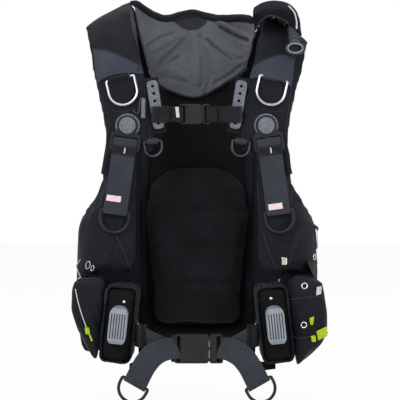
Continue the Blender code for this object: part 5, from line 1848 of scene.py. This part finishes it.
# Node, finish, body and edge radius in millimetres
HARD_NODES = (
    ("backplate", PLATE, "jacket", 1.2), ("cam_buckle_base", ACETAL, "jacket", 1.0),
    ("cam_lever", ACETAL, "cam_lever", 1.0), ("sternum_socket", ACETAL, "sternum_strap", 0.9),
    ("sternum_plug", ACETAL, "sternum_plug", 0.9), ("waist_socket", ACETAL, "jacket", 0.9),
    ("waist_plug", ACETAL, "waist_plug", 0.9))


class HardwareAssembly:
    """Buckles, rings, rails, grips, plate, valve and slider."""

    def build(self) -> None:
        """Makes all the hard pieces."""
        self.rings()
        for node, finish, body, width in HARD_NODES:
            refined(node, finish, body, width)
        for tag in ("l", "r"):
            refined(f"sternum_rail_{tag}", FILLED, "jacket", 0.5)
            refined(f"sternum_slider_{tag}", ACETAL, "sternum_strap", 0.5)
            refined(f"swivel_base_{tag}", FILLED, "jacket", 0.6, angle=40.0)
            refined(f"swivel_buckle_{tag}", ACETAL, f"swivel_{tag}", 0.8)
            self.shade_grooves(refined(f"weight_handle_{tag}", GRIP, f"weight_{tag}", 0.8))
        refined("rear_dump_valve", ACETAL, "jacket", 0.6)
        refined("dump_knob", FILLED, "dump_knob", 0.4)
        self.dump_cord(refined("dump_toggle", FILLED, "dump_toggle", 0.8))
        self.web_loops()
        refined("zip_slider", NICKEL, "zip_slider", 0.6)

    def dump_cord(self, toggle: bpy.types.Object) -> None:
        """The thin cord that runs from under the shoulder's disc to the top of the dump toggle.

        Args:
            toggle: what is on its end; not used.
        """
        points = spline([seen(x, y, depth * 0.001) for x, y, depth in CORD_ROUTE], 48)
        made = tube("dump_cord_braided", points, CORD_WIDTH / 2, THREAD, 10)
        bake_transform(made)

    def web_loops(self) -> None:
        """Webbing turned round the end bars of the waist buckle."""
        for side, tag, body in ((1, "l", "waist_plug"), (-1, "r", "jacket")):
            bm = bmesh.new()
            bmesh.ops.create_cube(bm, size=1.0)
            bmesh.ops.scale(bm, vec=mm(*LOOP_SIZE), verts=bm.verts[:])
            bmesh.ops.translate(bm, vec=mm(side * LOOP_AT[0], *LOOP_AT[1:]), verts=bm.verts[:])
            bmesh.ops.bevel(bm, geom=bm.edges[:], offset=0.0007, segments=2, affect="EDGES")
            made = finish_piece(f"waist_web_loop_{tag}", bm, BLACK_WEB)
            box_map(made.data)
            keep(made, body)

    def shade_grooves(self, grip: bpy.types.Object) -> None:
        """Paints shade into the bottoms and walls of a grip's grooves, as a second, darker rubber material.

        Args:
            grip: a weight pouch's grip.
        """
        grip.data.materials.append(PAINTED_GROOVE_SHADE.material())
        spots = [Vector(corner) for corner in grip.bound_box]
        middle = sum(spots, Vector()) / 8
        front = min(spot.y for spot in spots)
        for face in grip.data.polygons:
            inner = abs(face.center.x - middle.x) < GROOVE_X and abs(face.center.z - middle.z) < GROOVE_Z
            if inner and front + GROOVE_RIM < face.center.y < front + GROOVE_DEPTH:
                face.material_index = 1

    def rings(self) -> None:
        """All the D-rings and pull rings."""
        strap = StrapAssembly()
        for side, tag in ((1, "l"), (-1, "r")):
            DRing(f"shoulder_d_ring_{tag}", f"shoulder_ring_{tag}", (side * 123.5, -182.7, 244),
                  (side, 0, -0.24),
                  (0, -0.2, -1), *SHOULDER_RING, STEEL).build()
            DRing(f"chest_d_ring_{tag}", f"chest_ring_{tag}", (side * 71.0, -188.0, 143), (side, 0, -0.1),
                  (0, -0.05, -1), *CHEST_RING, DARK_STEEL).build()
            spot = strap.swung(side, strap.bar_y, strap.tail_end) * 1000
            DRing(f"tail_ring_{tag}", f"tail_ring_{tag}", tuple(spot), tuple(strap.across(side)), (0, 0, -1),
                  *TAIL_RING, ACETAL).build()
            DRing(f"waist_pull_ring_{tag}", f"waist_ring_{tag}", (side * 97.0, -219.8, -240.0),
                  (side * 0.88, 0, 0.47), (side * 0.47, 0, -0.88), *WAIST_RING, ACETAL).build()
        DRing("side_d_ring", "side_ring", (196.4, -122, 0), (0.1, 1, 0), (0.06, 0, -1), *SIDE_RING,
              STEEL).build()


# Millimetres
NECK_ENDS = ((157.2, -151.0, 330.0), (158.0, -168.0, 300.5))
NECK_RINGS = (0.1, 0.32, 0.54, 0.76)        # places along the neck
NECK_REACH = 0.0088                         # radius of the rings, metres
LIP_AT, LIP_HALF = (158.0, -182.0, 293.0), (11.8, 7.4)
FLAP_ROWS = ((-38, 356), (-52, 371.6), (-68, 379.1), (-86, 381.2), (-106, 378.6), (-122, 372), (-144, 361))
FLAP_SECTION = ((95, -12), (106, -5), (118, -1), (131, 0), (145, -2), (157, -8), (166, -20), (169, -38))
FLAP_FRONT = ((-156, 323), (-158, 341), (-159, 347), (-160, 345), (-163, 337), (-166, 327), (-166, 319),
              (-164, 315))
FLAP_COLUMNS, FLAP_STEPS = 32, 40
# Pixels
FLAP_PIPING = ((288.5, 6.5), (294, 13), (296.3, 22), (296.3, 29))
FLAP_HEM = ((256, 29), (259.5, 22.5), (266, 17), (274, 16), (284, 20), (293, 28))


class InflatorAssembly:
    """Ribbed hose, inflator body with two buttons, mouthpiece and the flap over them."""

    def build(self) -> None:
        """Makes the inflator's pieces."""
        refined("inflator_body", GLOSS, "jacket", 0.8)
        refined("mouthpiece", SILICONE, "jacket", 1.2)
        refined("inflate_button", GLOSS, "inflate_button", 0.6)
        refined("deflate_button", GLOSS, "deflate_button", 0.6)
        refined("inflator_hose", RUBBER, "jacket", 0.5, 2)
        self.neck()
        self.flap()

    def neck(self) -> None:
        """Moulded rings round the mouthpiece's neck, and a lip inside its oval painted pale as a painted
        highlight.
        """
        start, stop = (mm(*end) for end in NECK_ENDS)
        along = (stop - start).normalized()
        side = Vector((1, 0, 0))
        up = along.cross(side).normalized()
        turn = [math.tau * i / 32 for i in range(32)]
        for i, share in enumerate(NECK_RINGS):
            middle = start.lerp(stop, share)
            ring = [middle + (side * math.cos(a) + up * math.sin(a)) * NECK_REACH for a in turn]
            keep(tube(f"mouth_neck_ring_{i + 1}", ring, 0.0013, SILICONE, 10, True))
        x, y, z = LIP_AT
        lip = [mm(x + LIP_HALF[0] * math.cos(a), y, z + LIP_HALF[1] * math.sin(a)) for a in turn]
        # The lip's pale rubber is a painted highlight of the light on the oval's lower inner rim
        keep(tube("mouth_lip", lip, 0.0011, GRIP, 10, True))

    def flap(self) -> None:
        """The laminated cloth flap over the inflator, its front hem arched over the buttons."""
        wide = spline([Vector((x, 0, fall)) for x, fall in FLAP_SECTION], FLAP_COLUMNS + 1)
        hem = spline([Vector((x, y, z)) for (x, _), (y, z) in zip(FLAP_SECTION, FLAP_FRONT)],
                     FLAP_COLUMNS + 1)
        lines = []
        for a, low in zip(wide, hem):
            points = [Vector((a.x, y, max(z + a.z, low.z + 4))) for y, z in FLAP_ROWS] + [low]
            lines.append(spline(points, FLAP_STEPS + 1))
        bm = bmesh.new()
        bmesh.ops.create_grid(bm, x_segments=FLAP_COLUMNS, y_segments=FLAP_STEPS, size=0.5)
        for vert in bm.verts:
            line = lines[min(FLAP_COLUMNS, round((vert.co.x + 0.5) * FLAP_COLUMNS))]
            vert.co = line[min(FLAP_STEPS, round((vert.co.y + 0.5) * FLAP_STEPS))] * 0.001
        bmesh.ops.recalc_face_normals(bm, faces=bm.faces[:])
        made = finish_piece("inflator_flap_cloth", bm, FLAP)
        thicken(made, 0.003, 0.001, 3)
        rumple(made, 0.0008, 0.03)
        box_map(made.data)
        keep(made)
        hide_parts("inflator_flap")
        skin = Surface(made)
        keep(piping("flap_piping", skin, FLAP_PIPING, 0.0014, REFLECT, 40, 0.5))
        keep(piping("flap_hem", skin, FLAP_HEM, 0.0012, BINDING, 60, 0.4))


def main() -> None:
    """Builds the studio and every assembly in order."""
    logging.basicConfig(level=logging.INFO, format="%(name)s %(message)s")
    Studio().build()
    BackAssembly().build()
    LEFT_SHOULDER.build()
    RIGHT_SHOULDER.build()
    LEFT_WING.build()
    LEFT_WING.zip(ZIP_LINE, "zip_slider")
    LEFT_WING.tabs()
    RIGHT_WING.build()
    RIGHT_WING.snap_hooks()
    StrapAssembly().build()
    HardwareAssembly().build()
    InflatorAssembly().build()


if __name__ == "__main__":
    main()
